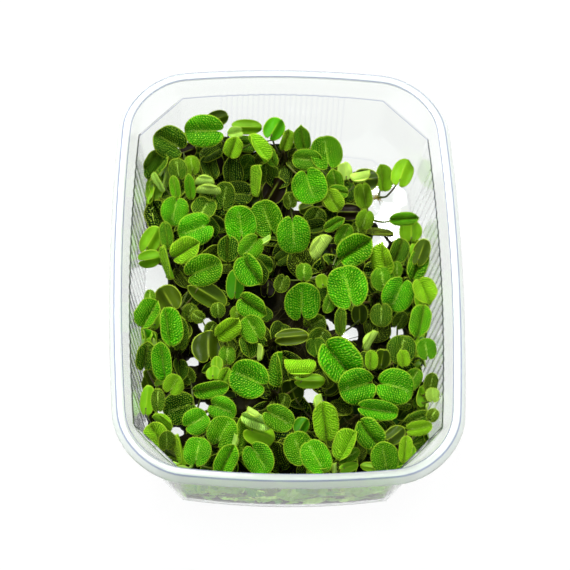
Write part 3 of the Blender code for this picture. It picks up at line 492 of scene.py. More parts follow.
def buried_leaves():
    """Leaf rows of the sprigs under the visible ones, at seeded random places"""
    rng = random.Random(SEED)
    rows = []
    centres = []
    while len(centres) < BURIED_SPRIGS:
        x = rng.uniform(140.0, 430.0)
        y = rng.uniform(150.0, 455.0)
        if not in_heap(x, y, 24.0) or any(math.dist((x, y), c) < 58.0 for c in centres):
            continue
        centres.append((x, y))
        start = rng.uniform(0.0, 360.0)
        for i in range(BURIED_LEAVES):
            heading = start + 360.0 * i / BURIED_LEAVES + rng.uniform(-25.0, 25.0)
            length = rng.uniform(28.0, 35.0)
            angle = math.radians(heading)
            place = (x + 0.55 * length * math.cos(angle), y - 0.55 * length * math.sin(angle))
            width = length * rng.uniform(0.75, 0.95)
            shape = rng.choice("FFUVK")
            rows.append((place[0], place[1], length, width, heading, shape, rng.choice("ddon"), 4))
    return tuple(rows)


def leaf_foot(leaf):
    """Picture place of a leaf's base"""
    x, y, length, width, heading = leaf[:5]
    angle = math.radians(heading)
    return x - 0.5 * length * math.cos(angle), y + 0.5 * length * math.sin(angle)


def sprig_groups():
    """Neighbouring leaves that share one stem, by the distance between their bases"""
    bases = [leaf_foot(leaf) for leaf in LEAVES]
    free = [i for i in range(len(LEAVES)) if LEAVES[i][2] >= SMALLEST_LEAF]
    groups = []
    while free:
        group = [free.pop(0)]
        while len(group) < SPRIG_LEAVES:
            best = None
            for j in free:
                if abs(LEAVES[j][7] - LEAVES[group[0]][7]) > 1:
                    continue
                gap = min(math.dist(bases[i], bases[j]) for i in group)
                if gap < SPRIG_REACH and (best is None or gap < best[0]):
                    best = (gap, j)
            if best is None:
                break
            group.append(best[1])
            free.remove(best[1])
        groups.append(group)
    for lone in [g for g in groups if len(g) == 1]:
        best = None
        for group in groups:
            if group is lone or len(group) > SPRIG_LEAVES:
                continue
            gap = min(math.dist(bases[i], bases[lone[0]]) for i in group)
            if gap < LONE_REACH and (best is None or gap < best[0]):
                best = (gap, group)
        if best is not None:
            best[1].extend(lone)
            groups.remove(lone)
    groups.sort(key=lambda group: -max(LAYER_RANK[LEAVES[i][7]] * LEAVES[i][2] * LEAVES[i][3] for i in group))
    for i in range(BURIED_SPRIGS):
        start = len(LEAVES) + i * BURIED_LEAVES
        groups.append(list(range(start, start + BURIED_LEAVES)))
    return groups


def small_leaf_owners(groups, rows):
    """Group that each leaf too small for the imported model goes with"""
    owners = {}
    for j, leaf in enumerate(rows):
        if leaf[2] >= SMALLEST_LEAF:
            continue
        gaps = []
        for number, group in enumerate(groups[:len(groups) - BURIED_SPRIGS]):
            gaps.append((min(math.dist(leaf_foot(LEAVES[i]), leaf_foot(leaf)) for i in group), number))
        owners.setdefault(min(gaps)[1], []).append(j)
    return owners


def node_points(name):
    """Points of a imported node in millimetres"""
    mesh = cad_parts[name].data
    points = np.zeros(len(mesh.vertices) * 3)
    mesh.vertices.foreach_get("co", points)
    return points.reshape(-1, 3) / MM


def sunk_move(name, group, rows):
    """Move from where a sprig's leaves were read to where its node lies"""
    outline = []
    hub = Vector()
    for i in group:
        base, along, across, out, long, wide, fold, ray = leaf_place(rows[i], i)
        big = rows[i][2] > 30 and rows[i][5] in "FVK"
        hub += (base + ray * HUB_DEPTH) / len(group)
        for a, s in LARGE_OUTLINE if big else SMALL_OUTLINE:
            for hand in (1, -1):
                reach = s * 0.5 * wide
                spot = across * (hand * reach * math.cos(fold)) + out * (reach * math.sin(fold))
                outline.append(base + along * (a * long) + spot)
    spots = np.array(outline)
    held = np.vstack([spots, np.array(hub)])
    nodes = node_points(name)
    move = 0.5 * (nodes.min(0) + nodes.max(0) - held.min(0) - held.max(0))
    move[2] = nodes[:, 2].max() - held[:, 2].max() - 0.5 * LEAF_THICKNESS
    for limit in (6.0, 3.0, 1.5, 1.0):
        gaps = nodes[None, :, :] - (spots + move)[:, None, :]
        size = np.linalg.norm(gaps, axis=2)
        near = size.argmin(1)
        close = size.min(1) < limit
        if close.sum() > 3:
            move = move + np.median(gaps[np.arange(len(spots)), near][close], axis=0)
    return move, np.array(hub) + move


def inside_walls(points, room):
    """Points moved back inside the tray's inner walls and above its floor"""
    x, y, z = points[..., 0], points[..., 1], points[..., 2]
    rise = np.clip(z / (HEIGHT - SHOULDER_DROP), 0.0, 1.0)
    inset = BASE_INSET + (SHOULDER_INSET - BASE_INSET) * rise + WALL + FLUTE_WAVE + room
    half_x = RIM_HALF_X - inset
    half_y = RIM_HALF_Y - inset
    chamfer = BASE_CHAMFER + (SHOULDER_CHAMFER - BASE_CHAMFER) * rise
    limit_x = half_x - BOW_X * (y / half_y) ** 2
    limit_y = half_y - BOW_Y * (x / half_x) ** 2
    x = np.clip(x, -limit_x, limit_x)
    y = np.clip(y, -limit_y, limit_y)
    corner = half_x + half_y - chamfer - CORNER_BOW * (BOW_X + BOW_Y)
    over = np.maximum(np.abs(x) + np.abs(y) - corner, 0.0) * 0.5
    x = x - np.sign(x) * over
    y = y - np.sign(y) * over
    return np.stack([x, y, np.maximum(z, FLOOR + room)], axis=-1)


class Form:
    """Faces of a small shape that is copied with new points"""

    def __init__(self, shape):
        shape.verts.index_update()
        self.points = np.array([v.co for v in shape.verts])
        self.corners = np.array([v.index for face in shape.faces for v in face.verts])
        self.sizes = np.array([len(face.verts) for face in shape.faces])
        self.slots = np.array([face.material_index for face in shape.faces])
        shape.free()


class Batch:
    """Copies of forms that become one mesh"""

    def __init__(self):
        self.points = []
        self.places = []
        self.tones = []
        self.tips = []
        self.corners = []
        self.sizes = []
        self.slots = []
        self.count = 0

    def add(self, form, points, places, tones, tips, slot=None):
        """Adds one copy of a form for each set of points"""
        copies, size = points.shape[:2]
        starts = self.count + size * np.arange(copies)
        self.points.append(points.reshape(-1, 3))
        self.places.append(np.broadcast_to(places, (copies, size, 2)).reshape(-1, 2))
        self.tones.append(np.broadcast_to(tones, (copies, size, 3)).reshape(-1, 3))
        self.tips.append(np.broadcast_to(tips, (copies, size)).reshape(-1))
        self.corners.append((form.corners[None, :] + starts[:, None]).reshape(-1))
        self.sizes.append(np.tile(form.sizes, copies))
        slots = form.slots if slot is None else np.full(len(form.sizes), slot)
        self.slots.append(np.tile(slots, copies))
        self.count += copies * size

    def piece(self, name, materials):
        """Mesh object of everything added, in metres"""
        corners = np.concatenate(self.corners).astype(np.int32)
        sizes = np.concatenate(self.sizes)
        places = np.concatenate(self.places)
        tones = np.concatenate(self.tones)
        mesh = bpy.data.meshes.new(name)
        mesh.vertices.add(self.count)
        mesh.vertices.foreach_set("co", (np.concatenate(self.points) * MM).astype(np.float32).ravel())
        mesh.loops.add(len(corners))
        mesh.loops.foreach_set("vertex_index", corners)
        mesh.polygons.add(len(sizes))
        mesh.polygons.foreach_set("loop_start", (np.cumsum(sizes) - sizes).astype(np.int32))
        mesh.polygons.foreach_set("material_index", np.concatenate(self.slots).astype(np.int32))
        mesh.update(calc_edges=True)
        mesh.shade_smooth()
        mesh.uv_layers.new(name="Disc").uv.foreach_set("vector", places[corners].astype(np.float32).ravel())
        colours = np.column_stack([tones, np.ones(len(tones))])
        tone = mesh.attributes.new("tone", "FLOAT_COLOR", "POINT")
        tone.data.foreach_set("color", colours.astype(np.float32).ravel())
        tip = mesh.attributes.new("tip", "FLOAT", "POINT")
        tip.data.foreach_set("value", np.concatenate(self.tips).astype(np.float32))
        for material in materials:
            mesh.materials.append(material)
        made = bpy.data.objects.new(name, mesh)
        bpy.context.scene.collection.objects.link(made)
        return made


def blade_form(cells):
    """Disc of a leaf, upper face at height 0 and back at -1"""
    shape = bmesh.new()
    bmesh.ops.create_grid(shape, x_segments=cells, y_segments=cells, size=1.0)
    for vert in shape.verts:
        x, y = vert.co.x, vert.co.y
        vert.co = (x * math.sqrt(1.0 - 0.5 * y * y), y * math.sqrt(1.0 - 0.5 * x * x), 0.0)
    bmesh.ops.solidify(shape, geom=shape.faces[:], thickness=1.0)
    for vert in shape.verts:
        vert.co.z = -1.0 if abs(vert.co.z) > 0.5 else 0.0
    bmesh.ops.recalc_face_normals(shape, faces=shape.faces)
    for face in shape.faces:
        face.material_index = FACE if all(v.co.z > -0.5 for v in face.verts) else BACK
    return Form(shape)


def hair_form():
    """Three-sided hair of unit radius and height"""
    shape = bmesh.new()
    bmesh.ops.create_cone(shape, cap_ends=True, segments=3, radius1=1.0, radius2=0.0, depth=1.0)
    bmesh.ops.remove_doubles(shape, verts=shape.verts, dist=0.001)
    bmesh.ops.translate(shape, verts=shape.verts, vec=(0.0, 0.0, 0.5))
    return Form(shape)


def thread_form(sides, steps):
    """Closed tube of unit radius along z from 0 to 1, in even steps"""
    shape = bmesh.new()
    ring = bmesh.ops.create_circle(shape, segments=sides, radius=1.0, cap_ends=True)["verts"]
    edges = [edge for edge in shape.edges]
    for step in range(steps):
        grown = bmesh.ops.extrude_edge_only(shape, edges=edges)["geom"]
        ring = [item for item in grown if isinstance(item, bmesh.types.BMVert)]
        edges = [item for item in grown if isinstance(item, bmesh.types.BMEdge)]
        bmesh.ops.translate(shape, verts=ring, vec=(0.0, 0.0, 1.0 / steps))
    bmesh.ops.contextual_create(shape, geom=edges)
    bmesh.ops.recalc_face_normals(shape, faces=shape.faces)
    return Form(shape)


def unit(vectors):
    """Vectors made one long"""
    return vectors / np.maximum(np.linalg.norm(vectors, axis=-1, keepdims=True), 1e-9)


def blade_points(place, bend, p, q):
    """Middle surface of a leaf over its unit disc"""
    base, along, across, out, long, wide, fold = place
    bulge, droop, wave, waves, phase, skew, full, twist = bend
    swell = 1.0 + full * 4.0 * (p * q) ** 2 / np.maximum(p * p + q * q, 1e-6)
    p, q = p * swell, q * swell
    side = np.abs(p)
    notch = NOTCH_DEPTH * np.exp(-(side / NOTCH_WIDTH) ** 1.15) * np.clip(-q, 0.0, 1.0) ** 3
    dent = DENT_DEPTH * np.exp(-(p / DENT_WIDTH) ** 2) * np.clip(q, 0.0, 1.0) ** 3
    y = 0.5 + 0.5 * (q + notch - dent)
    half = 0.5 * wide
    soft = CREASE * (1.5 - fold)
    crease = (np.sqrt(p * p + soft * soft) - soft) / (math.sqrt(1.0 + soft * soft) - soft)
    radius = p * p + q * q
    z = crease * math.sin(fold) + bulge * np.sin(math.pi * np.minimum(crease, 1.0)) * math.cos(fold)
    z -= droop * (q * q + 0.4 * p * p) + twist * p * q
    z += wave * radius * np.sin(waves * np.arctan2(q, p) + phase)
    p = p * (1.0 - LOBE_PULL * np.exp(-(side / LOBE_WIDTH) ** 2) * np.clip(-q, 0.0, 1.0) ** 4)
    x = p * math.cos(fold) - bulge * np.sin(math.pi * p) * math.sin(fold) + skew * q * q
    flat = base + along * (y * long)[..., None] + across * (x * half)[..., None]
    return flat + out * (z * half)[..., None]


def blade_normals(place, bend, p, q):
    """Upper-face directions of a leaf's middle surface"""
    step = 0.01
    run = blade_points(place, bend, p + step, q) - blade_points(place, bend, p - step, q)
    rise = blade_points(place, bend, p, q + step) - blade_points(place, bend, p, q - step)
    return unit(np.cross(run, rise))


def hair_lattice(rows, columns):
    """Disc places of the hairs, in slanting rows on both sides of the midrib"""
    spots = []
    for row in range(-2 * rows, 2 * rows):
        for column in range(columns):
            p = (column + 0.5) / columns
            q = 2.0 * row / rows + SLANT * p
            if p * p + q * q < 0.93 and not (p < 0.12 and q < -0.55):
                spots += [(p, q), (-p, q)]
    return np.array(spots)


def add_hairs(batch, form, place, bend, spots, lean, length, radius, tone, rng):
    """Hairs on a leaf, leaning outwards from its middle"""
    p, q = spots[:, 0], spots[:, 1]
    foot = blade_points(place, bend, p, q)
    up = blade_normals(place, bend, p, q)
    away = blade_points(place, bend, p * 1.04, q * 1.04 + 0.01) - foot
    direction = unit(up + lean * unit(away) + rng.normal(0.0, 0.12, up.shape))
    side = unit(np.cross(direction, np.array(place[1])))
    other = np.cross(direction, side)
    count = len(spots)
    long = (length * rng.uniform(0.7, 1.25, count))[:, None, None]
    thick = (radius * rng.uniform(0.8, 1.2, count))[:, None, None]
    t = form.points
    points = foot[:, None, :] + thick * (t[None, :, 0:1] * side[:, None, :] + t[None, :, 1:2] * other[:, None, :])
    points = points + long * t[None, :, 2:3] * direction[:, None, :]
    places = 0.5 + 0.5 * spots[:, None, :] + 0.01 * t[None, :, :2]
    batch.add(form, points, places, tone, t[:, 2], HAIR)


def add_threads(batch, form, paths, start, stop, tones, slot):
    """Tubes along paths given as threads x steps x 3, tapering from start to stop radius"""
    steps = paths.shape[1] - 1
    tangent = np.zeros_like(paths)
    tangent[:, 1:-1] = paths[:, 2:] - paths[:, :-2]
    tangent[:, 0] = paths[:, 1] - paths[:, 0]
    tangent[:, -1] = paths[:, -1] - paths[:, -2]
    tangent = unit(tangent)
    level = np.array([0.31, 0.95, 0.05])
    side = unit(np.cross(tangent, level))
    other = np.cross(tangent, side)
    t = form.points
    ring = np.rint(t[:, 2] * steps).astype(int)
    radius = start + (stop - start) * t[:, 2]
    points = paths[:, ring] + (side[:, ring] * t[:, 0:1] + other[:, ring] * t[:, 1:2]) * radius[:, None]
    batch.add(form, points, 0.5 + 0.1 * t[:, :2], tones, t[:, 2], slot)


def socket(tree, node, name, value):
    """Links or sets one input of a node"""
    if isinstance(value, bpy.types.NodeSocket):
        tree.links.new(value, node.inputs[name])
    else:
        node.inputs[name].default_value = value


def calc(tree, operation, first, second=0.0, third=0.0):
    """Output of a Math node"""
    node = tree.nodes.new("ShaderNodeMath")
    node.operation = operation
    for i, value in enumerate((first, second, third)):
        socket(tree, node, i, value)
    return node.outputs[0]


def blend_colours(tree, share, first, second, mode="MIX"):
    """Output of a colour Mix node"""
    node = tree.nodes.new("ShaderNodeMix")
    node.data_type = "RGBA"
    node.blend_type = mode
    socket(tree, node, 0, share)
    socket(tree, node, 6, first)
    socket(tree, node, 7, second)
    return node.outputs[2]


def step_between(tree, value, low, high):
    """Smooth step of a value from low to high"""
    node = tree.nodes.new("ShaderNodeMapRange")
    node.interpolation_type = "SMOOTHSTEP"
    socket(tree, node, "Value", value)
    node.inputs["From Min"].default_value = low
    node.inputs["From Max"].default_value = high
    return node.outputs["Result"]


def attribute(tree, name, output):
    """Output of an Attribute node"""
    node = tree.nodes.new("ShaderNodeAttribute")
    node.attribute_name = name
    return node.outputs[output]


def noise(tree, place, scale, detail):
    """Value of a noise texture"""
    node = tree.nodes.new("ShaderNodeTexNoise")
    socket(tree, node, "Vector", place)
    node.inputs["Scale"].default_value = scale
    node.inputs["Detail"].default_value = detail
    return node.outputs["Fac"]


def new_group(name, inputs, outputs):
    """Empty shader node group with named sockets"""
    tree = bpy.data.node_groups.new(name, "ShaderNodeTree")
    for label, kind, default in inputs:
        made = tree.interface.new_socket(name=label, in_out="INPUT", socket_type=kind)
        if default is not None:
            made.default_value = default
    for label, kind in outputs:
        tree.interface.new_socket(name=label, in_out="OUTPUT", socket_type=kind)
    return tree, tree.nodes.new("NodeGroupInput"), tree.nodes.new("NodeGroupOutput")


def leaf_pattern_group():
    """Rows, hair feet, rim and midrib of a leaf from its disc map"""
    name = "leaf_pattern"
    if name in bpy.data.node_groups:
        return bpy.data.node_groups[name]
    tree, given, made = new_group(
        name,
        [("Disc", "NodeSocketVector", None), ("Place", "NodeSocketVector", None), ("Rows", "NodeSocketFloat", 14.0),
         ("Columns", "NodeSocketFloat", 7.0), ("Slant", "NodeSocketFloat", SLANT)],
        [("Groove", "NodeSocketFloat"), ("Foot", "NodeSocketFloat"), ("Rim", "NodeSocketFloat"),
         ("Midrib", "NodeSocketFloat"), ("Reach", "NodeSocketFloat")],
    )
    split = tree.nodes.new("ShaderNodeSeparateXYZ")
    tree.links.new(given.outputs["Disc"], split.inputs[0])
    flat_p = calc(tree, "MULTIPLY_ADD", split.outputs["X"], 2.0, -1.0)
    flat_q = calc(tree, "MULTIPLY_ADD", split.outputs["Y"], 2.0, -1.0)
    wander = calc(tree, "MULTIPLY_ADD", noise(tree, given.outputs["Place"], 420.0, 1.0), 0.26, -0.13)
    stray = calc(tree, "MULTIPLY_ADD", noise(tree, given.outputs["Place"], 510.0, 1.0), 0.26, -0.13)
    p = calc(tree, "ADD", flat_p, wander)
    q = calc(tree, "ADD", flat_q, stray)
    side = calc(tree, "ABSOLUTE", p)
    slope = calc(tree, "SUBTRACT", q, calc(tree, "MULTIPLY", side, given.outputs["Slant"]))
    row = calc(tree, "MULTIPLY", slope, calc(tree, "MULTIPLY", given.outputs["Rows"], 0.5))
    column = calc(tree, "MULTIPLY_ADD", side, given.outputs["Columns"], -0.5)
    off_row = calc(tree, "SUBTRACT", row, calc(tree, "ROUND", row))
    off_column = calc(tree, "SUBTRACT", column, calc(tree, "ROUND", column))
    groove = calc(tree, "ABSOLUTE", off_row)
    tree.links.new(step_between(tree, groove, 0.2, 0.48), made.inputs["Groove"])
    spread = calc(tree, "ADD", calc(tree, "MULTIPLY", off_row, off_row), calc(tree, "MULTIPLY", off_column, off_column))
    foot = calc(tree, "SUBTRACT", 1.0, step_between(tree, calc(tree, "SQRT", spread), 0.12, 0.3))
    tree.links.new(foot, made.inputs["Foot"])
    square_p = calc(tree, "MULTIPLY", flat_p, flat_p)
    reach = calc(tree, "SQRT", calc(tree, "ADD", square_p, calc(tree, "MULTIPLY", flat_q, flat_q)))
    middle = calc(tree, "ABSOLUTE", flat_p)
    tree.links.new(step_between(tree, reach, 0.93, 0.985), made.inputs["Rim"])
    line = calc(tree, "SUBTRACT", 1.0, step_between(tree, middle, 0.0, 0.12))
    fade = calc(tree, "SUBTRACT", 1.0, step_between(tree, flat_q, 0.2, 0.8))
    tree.links.new(calc(tree, "MULTIPLY", line, fade), made.inputs["Midrib"])
    tree.links.new(reach, made.inputs["Reach"])
    return tree


def mottle_group():
    """Coarse and fine variation of a surface from object coordinates"""
    name = "mottle"
    if name in bpy.data.node_groups:
        return bpy.data.node_groups[name]
    tree, given, made = new_group(
        name, [("Place", "NodeSocketVector", None)],
        [("Coarse", "NodeSocketFloat"), ("Fine", "NodeSocketFloat")],
    )
    tree.links.new(noise(tree, given.outputs["Place"], 180.0, 3.0), made.inputs["Coarse"])
    tree.links.new(noise(tree, given.outputs["Place"], 1400.0, 2.0), made.inputs["Fine"])
    return tree


def new_material(name):
    """Material with its node tree, shader and object coordinates"""
    made = bpy.data.materials.get(name) or bpy.data.materials.new(name)
    made.use_nodes = True
    tree = made.node_tree
    tree.nodes.clear()
    output = tree.nodes.new("ShaderNodeOutputMaterial")
    shader = tree.nodes.new("ShaderNodeBsdfPrincipled")
    tree.links.new(shader.outputs[0], output.inputs["Surface"])
    place = tree.nodes.new("ShaderNodeTexCoord")
    return made, tree, shader, place


def use_group(tree, group, **values):
    """Group node with its inputs linked or set"""
    node = tree.nodes.new("ShaderNodeGroup")
    node.node_tree = group
    for name, value in values.items():
        socket(tree, node, name, value)
    return node


def bumped(tree, shader, height, strength, distance):
    """Bump on a shader's normal"""
    bump = tree.nodes.new("ShaderNodeBump")
    bump.inputs["Strength"].default_value = strength
    bump.inputs["Distance"].default_value = distance
    tree.links.new(height, bump.inputs["Height"])
    tree.links.new(bump.outputs["Normal"], shader.inputs["Normal"])


def face_material(look):
    """Upper face: grooves between rows darkened with painted shade, pale hair feet, yellow rim and hairy midrib"""
    made, tree, shader, place = new_material("leaf_face")
    pattern = use_group(
        tree, leaf_pattern_group(), Disc=place.outputs["UV"], Place=place.outputs["Object"],
        Rows=float(look.rows), Columns=float(look.columns),
    )
    mottle = use_group(tree, mottle_group(), Place=place.outputs["Object"])
    tone = attribute(tree, "tone", "Color")
    lively = calc(tree, "MULTIPLY_ADD", mottle.outputs["Coarse"], 1.5, 0.25)
    base = blend_colours(tree, 1.0, tone, lively, "MULTIPLY")
    # Painted shade: the grooves between the hair rows are darkened
    dark = blend_colours(tree, 1.0, base, (0.2, 0.34, 0.2, 1.0), "MULTIPLY")
    groove = calc(tree, "MULTIPLY", pattern.outputs["Groove"], calc(tree, "MULTIPLY_ADD", mottle.outputs["Fine"], 1.2, 0.1))
    colour = blend_colours(tree, groove, base, dark)
    pale = blend_colours(tree, 0.7, tone, (*look.hair_tip, 1.0))
    foot = calc(tree, "MULTIPLY", pattern.outputs["Foot"], calc(tree, "MULTIPLY_ADD", mottle.outputs["Fine"], 1.4, -0.1))
    colour = blend_colours(tree, foot, colour, pale)
    middle = calc(tree, "MULTIPLY", pattern.outputs["Midrib"], calc(tree, "MULTIPLY_ADD", mottle.outputs["Fine"], 1.0, -0.1))
    colour = blend_colours(tree, middle, colour, pale)
    rim = blend_colours(tree, 0.6, tone, (*look.rim, 1.0))
    colour = blend_colours(tree, calc(tree, "MULTIPLY", pattern.outputs["Rim"], 0.85), colour, rim)
    tree.links.new(colour, shader.inputs["Base Color"])
    shader.inputs["Roughness"].default_value = 0.55
    shader.inputs["Specular IOR Level"].default_value = 0.05
    height = calc(tree, "SUBTRACT", pattern.outputs["Foot"], pattern.outputs["Groove"])
    bumped(tree, shader, height, 0.8, 0.00025)
    return made


def back_material(look):
    """Underside: smooth and paler, with a raised midrib and fine side veins"""
    made, tree, shader, place = new_material("leaf_back")
    pattern = use_group(tree, leaf_pattern_group(), Disc=place.outputs["UV"], Place=place.outputs["Object"], Rows=22.0)
    mottle = use_group(tree, mottle_group(), Place=place.outputs["Object"])
    tone = attribute(tree, "tone", "Color")
    lively = calc(tree, "MULTIPLY_ADD", mottle.outputs["Coarse"], 0.7, 0.75)
    base = blend_colours(tree, 1.0, tone, lively, "MULTIPLY")
    vein = blend_colours(tree, 0.3, base, (*look.rim, 1.0))
    groove = calc(tree, "MULTIPLY", pattern.outputs["Groove"], 0.28)
    colour = blend_colours(tree, groove, base, blend_colours(tree, 1.0, base, (0.6, 0.68, 0.6, 1.0), "MULTIPLY"))
    colour = blend_colours(tree, pattern.outputs["Midrib"], colour, vein)
    rim = blend_colours(tree, 0.7, tone, (*look.rim, 1.0))
    colour = blend_colours(tree, calc(tree, "MULTIPLY", pattern.outputs["Rim"], 0.8), colour, rim)
    tree.links.new(colour, shader.inputs["Base Color"])
    shader.inputs["Roughness"].default_value = 0.38
    shader.inputs["Specular IOR Level"].default_value = 0.1
    height = calc(tree, "ADD", pattern.outputs["Midrib"], calc(tree, "MULTIPLY", pattern.outputs["Groove"], -0.3))
    bumped(tree, shader, height, 0.5, 0.0002)
    return made


def hair_material(look):
    """Hairs: leaf green at the foot, pale mint at the tip"""
    made, tree, shader, place = new_material("leaf_hair")
    tone = attribute(tree, "tone", "Color")
    tip = attribute(tree, "tip", "Fac")
    colour = blend_colours(tree, calc(tree, "MULTIPLY_ADD", tip, 0.6, 0.2), tone, (*look.hair_tip, 1.0))
    tree.links.new(colour, shader.inputs["Base Color"])
    shader.inputs["Roughness"].default_value = 0.5
    shader.inputs["Specular IOR Level"].default_value = 0.05
    return made


def stalk_material():
    """Stalks: lime green with brown patches"""
    made, tree, shader, place = new_material("stalk")
    mottle = use_group(tree, mottle_group(), Place=place.outputs["Object"])
    tone = attribute(tree, "tone", "Color")
    patch = step_between(tree, mottle.outputs["Coarse"], 0.48, 0.7)
    colour = blend_colours(tree, patch, tone, (*linear(84, 70, 30), 1.0))
    tree.links.new(colour, shader.inputs["Base Color"])
    shader.inputs["Roughness"].default_value = 0.42
    bumped(tree, shader, mottle.outputs["Fine"], 0.4, 0.0002)
    return made


def root_material():
    """Roots: wet dark brown fibres with a few lighter strands"""
    made, tree, shader, place = new_material("root_fibre")
    mottle = use_group(tree, mottle_group(), Place=place.outputs["Object"])
    tone = attribute(tree, "tone", "Color")
    lively = calc(tree, "MULTIPLY_ADD", mottle.outputs["Coarse"], 1.4, 0.3)
    colour = blend_colours(tree, 1.0, tone, lively, "MULTIPLY")
    tree.links.new(colour, shader.inputs["Base Color"])
    shader.inputs["Roughness"].default_value = 0.6
    shader.inputs["Specular IOR Level"].default_value = 0.05
    bumped(tree, shader, mottle.outputs["Fine"], 0.6, 0.0003)
    return made


def plastic_material(name, look, tint, clearness):
    """Clear moulded plastic with a faint cool tint, a slightly uneven gloss and painted shade lines along its bends and
    flutes
    """
    made, tree, shader, place = new_material(name)
    line = attribute(tree, "line", "Fac")
    # The line attribute places the painted shade lines along the bends and flutes
    tree.links.new(blend_colours(tree, line, (*tint, 1.0), (*look.edge, 1.0)), shader.inputs["Base Color"])
    shader.inputs["Transmission Weight"].default_value = clearness
    shader.inputs["IOR"].default_value = look.ior
    shader.inputs["Coat Weight"].default_value = look.gloss
    shader.inputs["Coat Roughness"].default_value = 0.05
    haze = noise(tree, place.outputs["Object"], 60.0, 3.0)
    tree.links.new(calc(tree, "MULTIPLY_ADD", haze, 0.06, look.roughness - 0.03), shader.inputs["Roughness"])
    return made


def varied(tone, rng):
    """Tone with a small change of hue and brightness for one leaf"""
    colour = np.array(linear(*TONES[tone]))
    colour = colour * rng.uniform(0.84, 1.16)
    return colour * (1.0 + rng.uniform(-0.1, 0.1) * np.array([1.0, 0.0, -0.5]))


def visible_place(leaf, index, move, listed=False):
    """Frame of a leaf, moved with its sprig, or for a leaf of the table slid to its own picture place"""
    base, along, across, out, long, wide, fold, ray = leaf_place(leaf, index)
    if across.cross(along).dot(out) < 0.0:
        across = -across
    place = (np.array(base) + move, np.array(along), np.array(across), np.array(out), long, wide, fold)
    rng = random.Random(SEED + index)
    if leaf[5] == "C":
        place = closed_place(place, rng.choice((-1.0, 1.0)))
    else:
        lean, roll = (math.radians(rng.uniform(-LEAF_TILT, LEAF_TILT)) for turn in range(2))
        place = tilted_place(place, lean, roll)
    return shown_place(place, leaf[0], leaf[1]) if listed else place


def shown_place(place, x, y):
    """Frame of a leaf slid along the line of sight, and off the walls, so that it shows at a picture place"""
    base, along, across, out, long, wide, fold = place
    spots = []
    for a, s in SMALL_OUTLINE:
        for hand in (1, -1):
            reach = s * 0.5 * wide
            side = across * (hand * reach * math.cos(fold)) + out * (reach * math.sin(fold))
            spots.append(along * (a * long) + side)
    spots = np.array(spots)
    middle = 0.5 * (spots.min(0) + spots.max(0))
    best = None
    for slide in SLIDES:
        centre = np.array(view_point(x, y, base[2] + middle[2] + slide)[0])
        outline = centre - middle + spots
        push = inside_walls(outline, 0.2) - outline
        push = push.min(0) + push.max(0)
        cost = abs(push).sum() + SLIDE_COST * abs(slide)
        if best is None or cost < best[0]:
            best = (cost, centre - middle + push)
    return best[1], along, across, out, long, wide, fold


def tilted_place(place, lean, roll):
    """Frame of a leaf turned a little about its middle"""
    base, along, across, out, long, wide, fold = place
    middle = base + along * (0.5 * long)
    along, up = along * math.cos(lean) + out * math.sin(lean), out * math.cos(lean) - along * math.sin(lean)
    level, up = across * math.cos(roll) + up * math.sin(roll), up * math.cos(roll) - across * math.sin(roll)
    long, wide = long / math.cos(lean), wide / math.cos(roll)
    return middle - along * (0.5 * long), along, level, up, long, wide, fold


def closed_place(place, hand):
    """Frame of a leaf shut like a book and turned so that the underside of one half shows"""
    base, along, across, out, long, wide, fold = place
    turn = math.radians(CLOSED_TURN) * hand
    fold = math.radians(CLOSED_FOLD)
    level = across * math.cos(turn) + out * math.sin(turn)
    up = out * math.cos(turn) - across * math.sin(turn)
    ends = []
    for end in (-0.5, 0.0, 0.5):
        ends.append(float(np.dot(level * end * wide * math.cos(fold) + up * abs(end) * wide * math.sin(fold), across)))
    return base - across * (0.5 * (min(ends) + max(ends))), along, level, up, long, wide, fold


def add_leaf(batch, forms, place, shape, tone, look, hairy, rng, painted_light=1.0):
    """One leaf, with its hairs if it is near the top of the heap"""
    bulge, droop, wave, full = BENDS[shape]
    sign = rng.choice((-1.0, 1.0)) if shape in "FV" else 1.0
    bend = (
        bulge * rng.uniform(0.7, 1.3), droop * sign + rng.normal(0.0, 0.02), wave * rng.uniform(0.5, 1.3),
        int(rng.integers(3, 6)), rng.uniform(0.0, 6.28), rng.normal(0.0, 0.04), full,
        0.0 if shape == "C" else rng.normal(0.0, 0.09),
    )
    # Painted light: the leaf's colour is made lighter or darker by the factor for where it lies in the heap
    colour = varied(tone, rng) * painted_light
    form = forms["fine"] if hairy else forms["plain"]
    t = form.points
    p, q = t[:, 0], t[:, 1]
    up = blade_normals(place, bend, p, q)
    thick = BLADE * np.clip(1.35 - (p * p + q * q), 0.35, 1.0)
    points = blade_points(place, bend, p, q) + up * (thick * (0.5 + t[:, 2]))[:, None]
    batch.add(form, inside_walls(points, 0.2)[None], 0.5 + 0.5 * t[:, :2], colour, 0.0)
    if not hairy:
        return
    if shape != "C":
        spots = forms["lattice"] + rng.normal(0.0, 0.022, forms["lattice"].shape)
        add_hairs(batch, forms["hair"], place, bend, spots, 0.4, look.hair_length, look.hair_radius, colour, rng)
    angles = np.linspace(0.0, 2.0 * math.pi, 60, endpoint=False) + rng.normal(0.0, 0.03, 60)
    spots = 0.985 * np.column_stack([np.cos(angles), np.sin(angles)])
    tint = colour * 0.5 + np.array(look.rim) * 0.5
    add_hairs(batch, forms["hair"], place, bend, spots, 1.6, 0.5, 0.12, tint, rng)
    if shape == "C":
        return
    count = 48 if shape in "VSK" else 40
    spots = np.column_stack([rng.normal(0.0, 0.09, count), rng.uniform(-0.55, 0.7, count)])
    add_hairs(batch, forms["hair"], place, bend, spots, 0.6, 1.0, 0.11, np.array(linear(176, 214, 124)), rng)


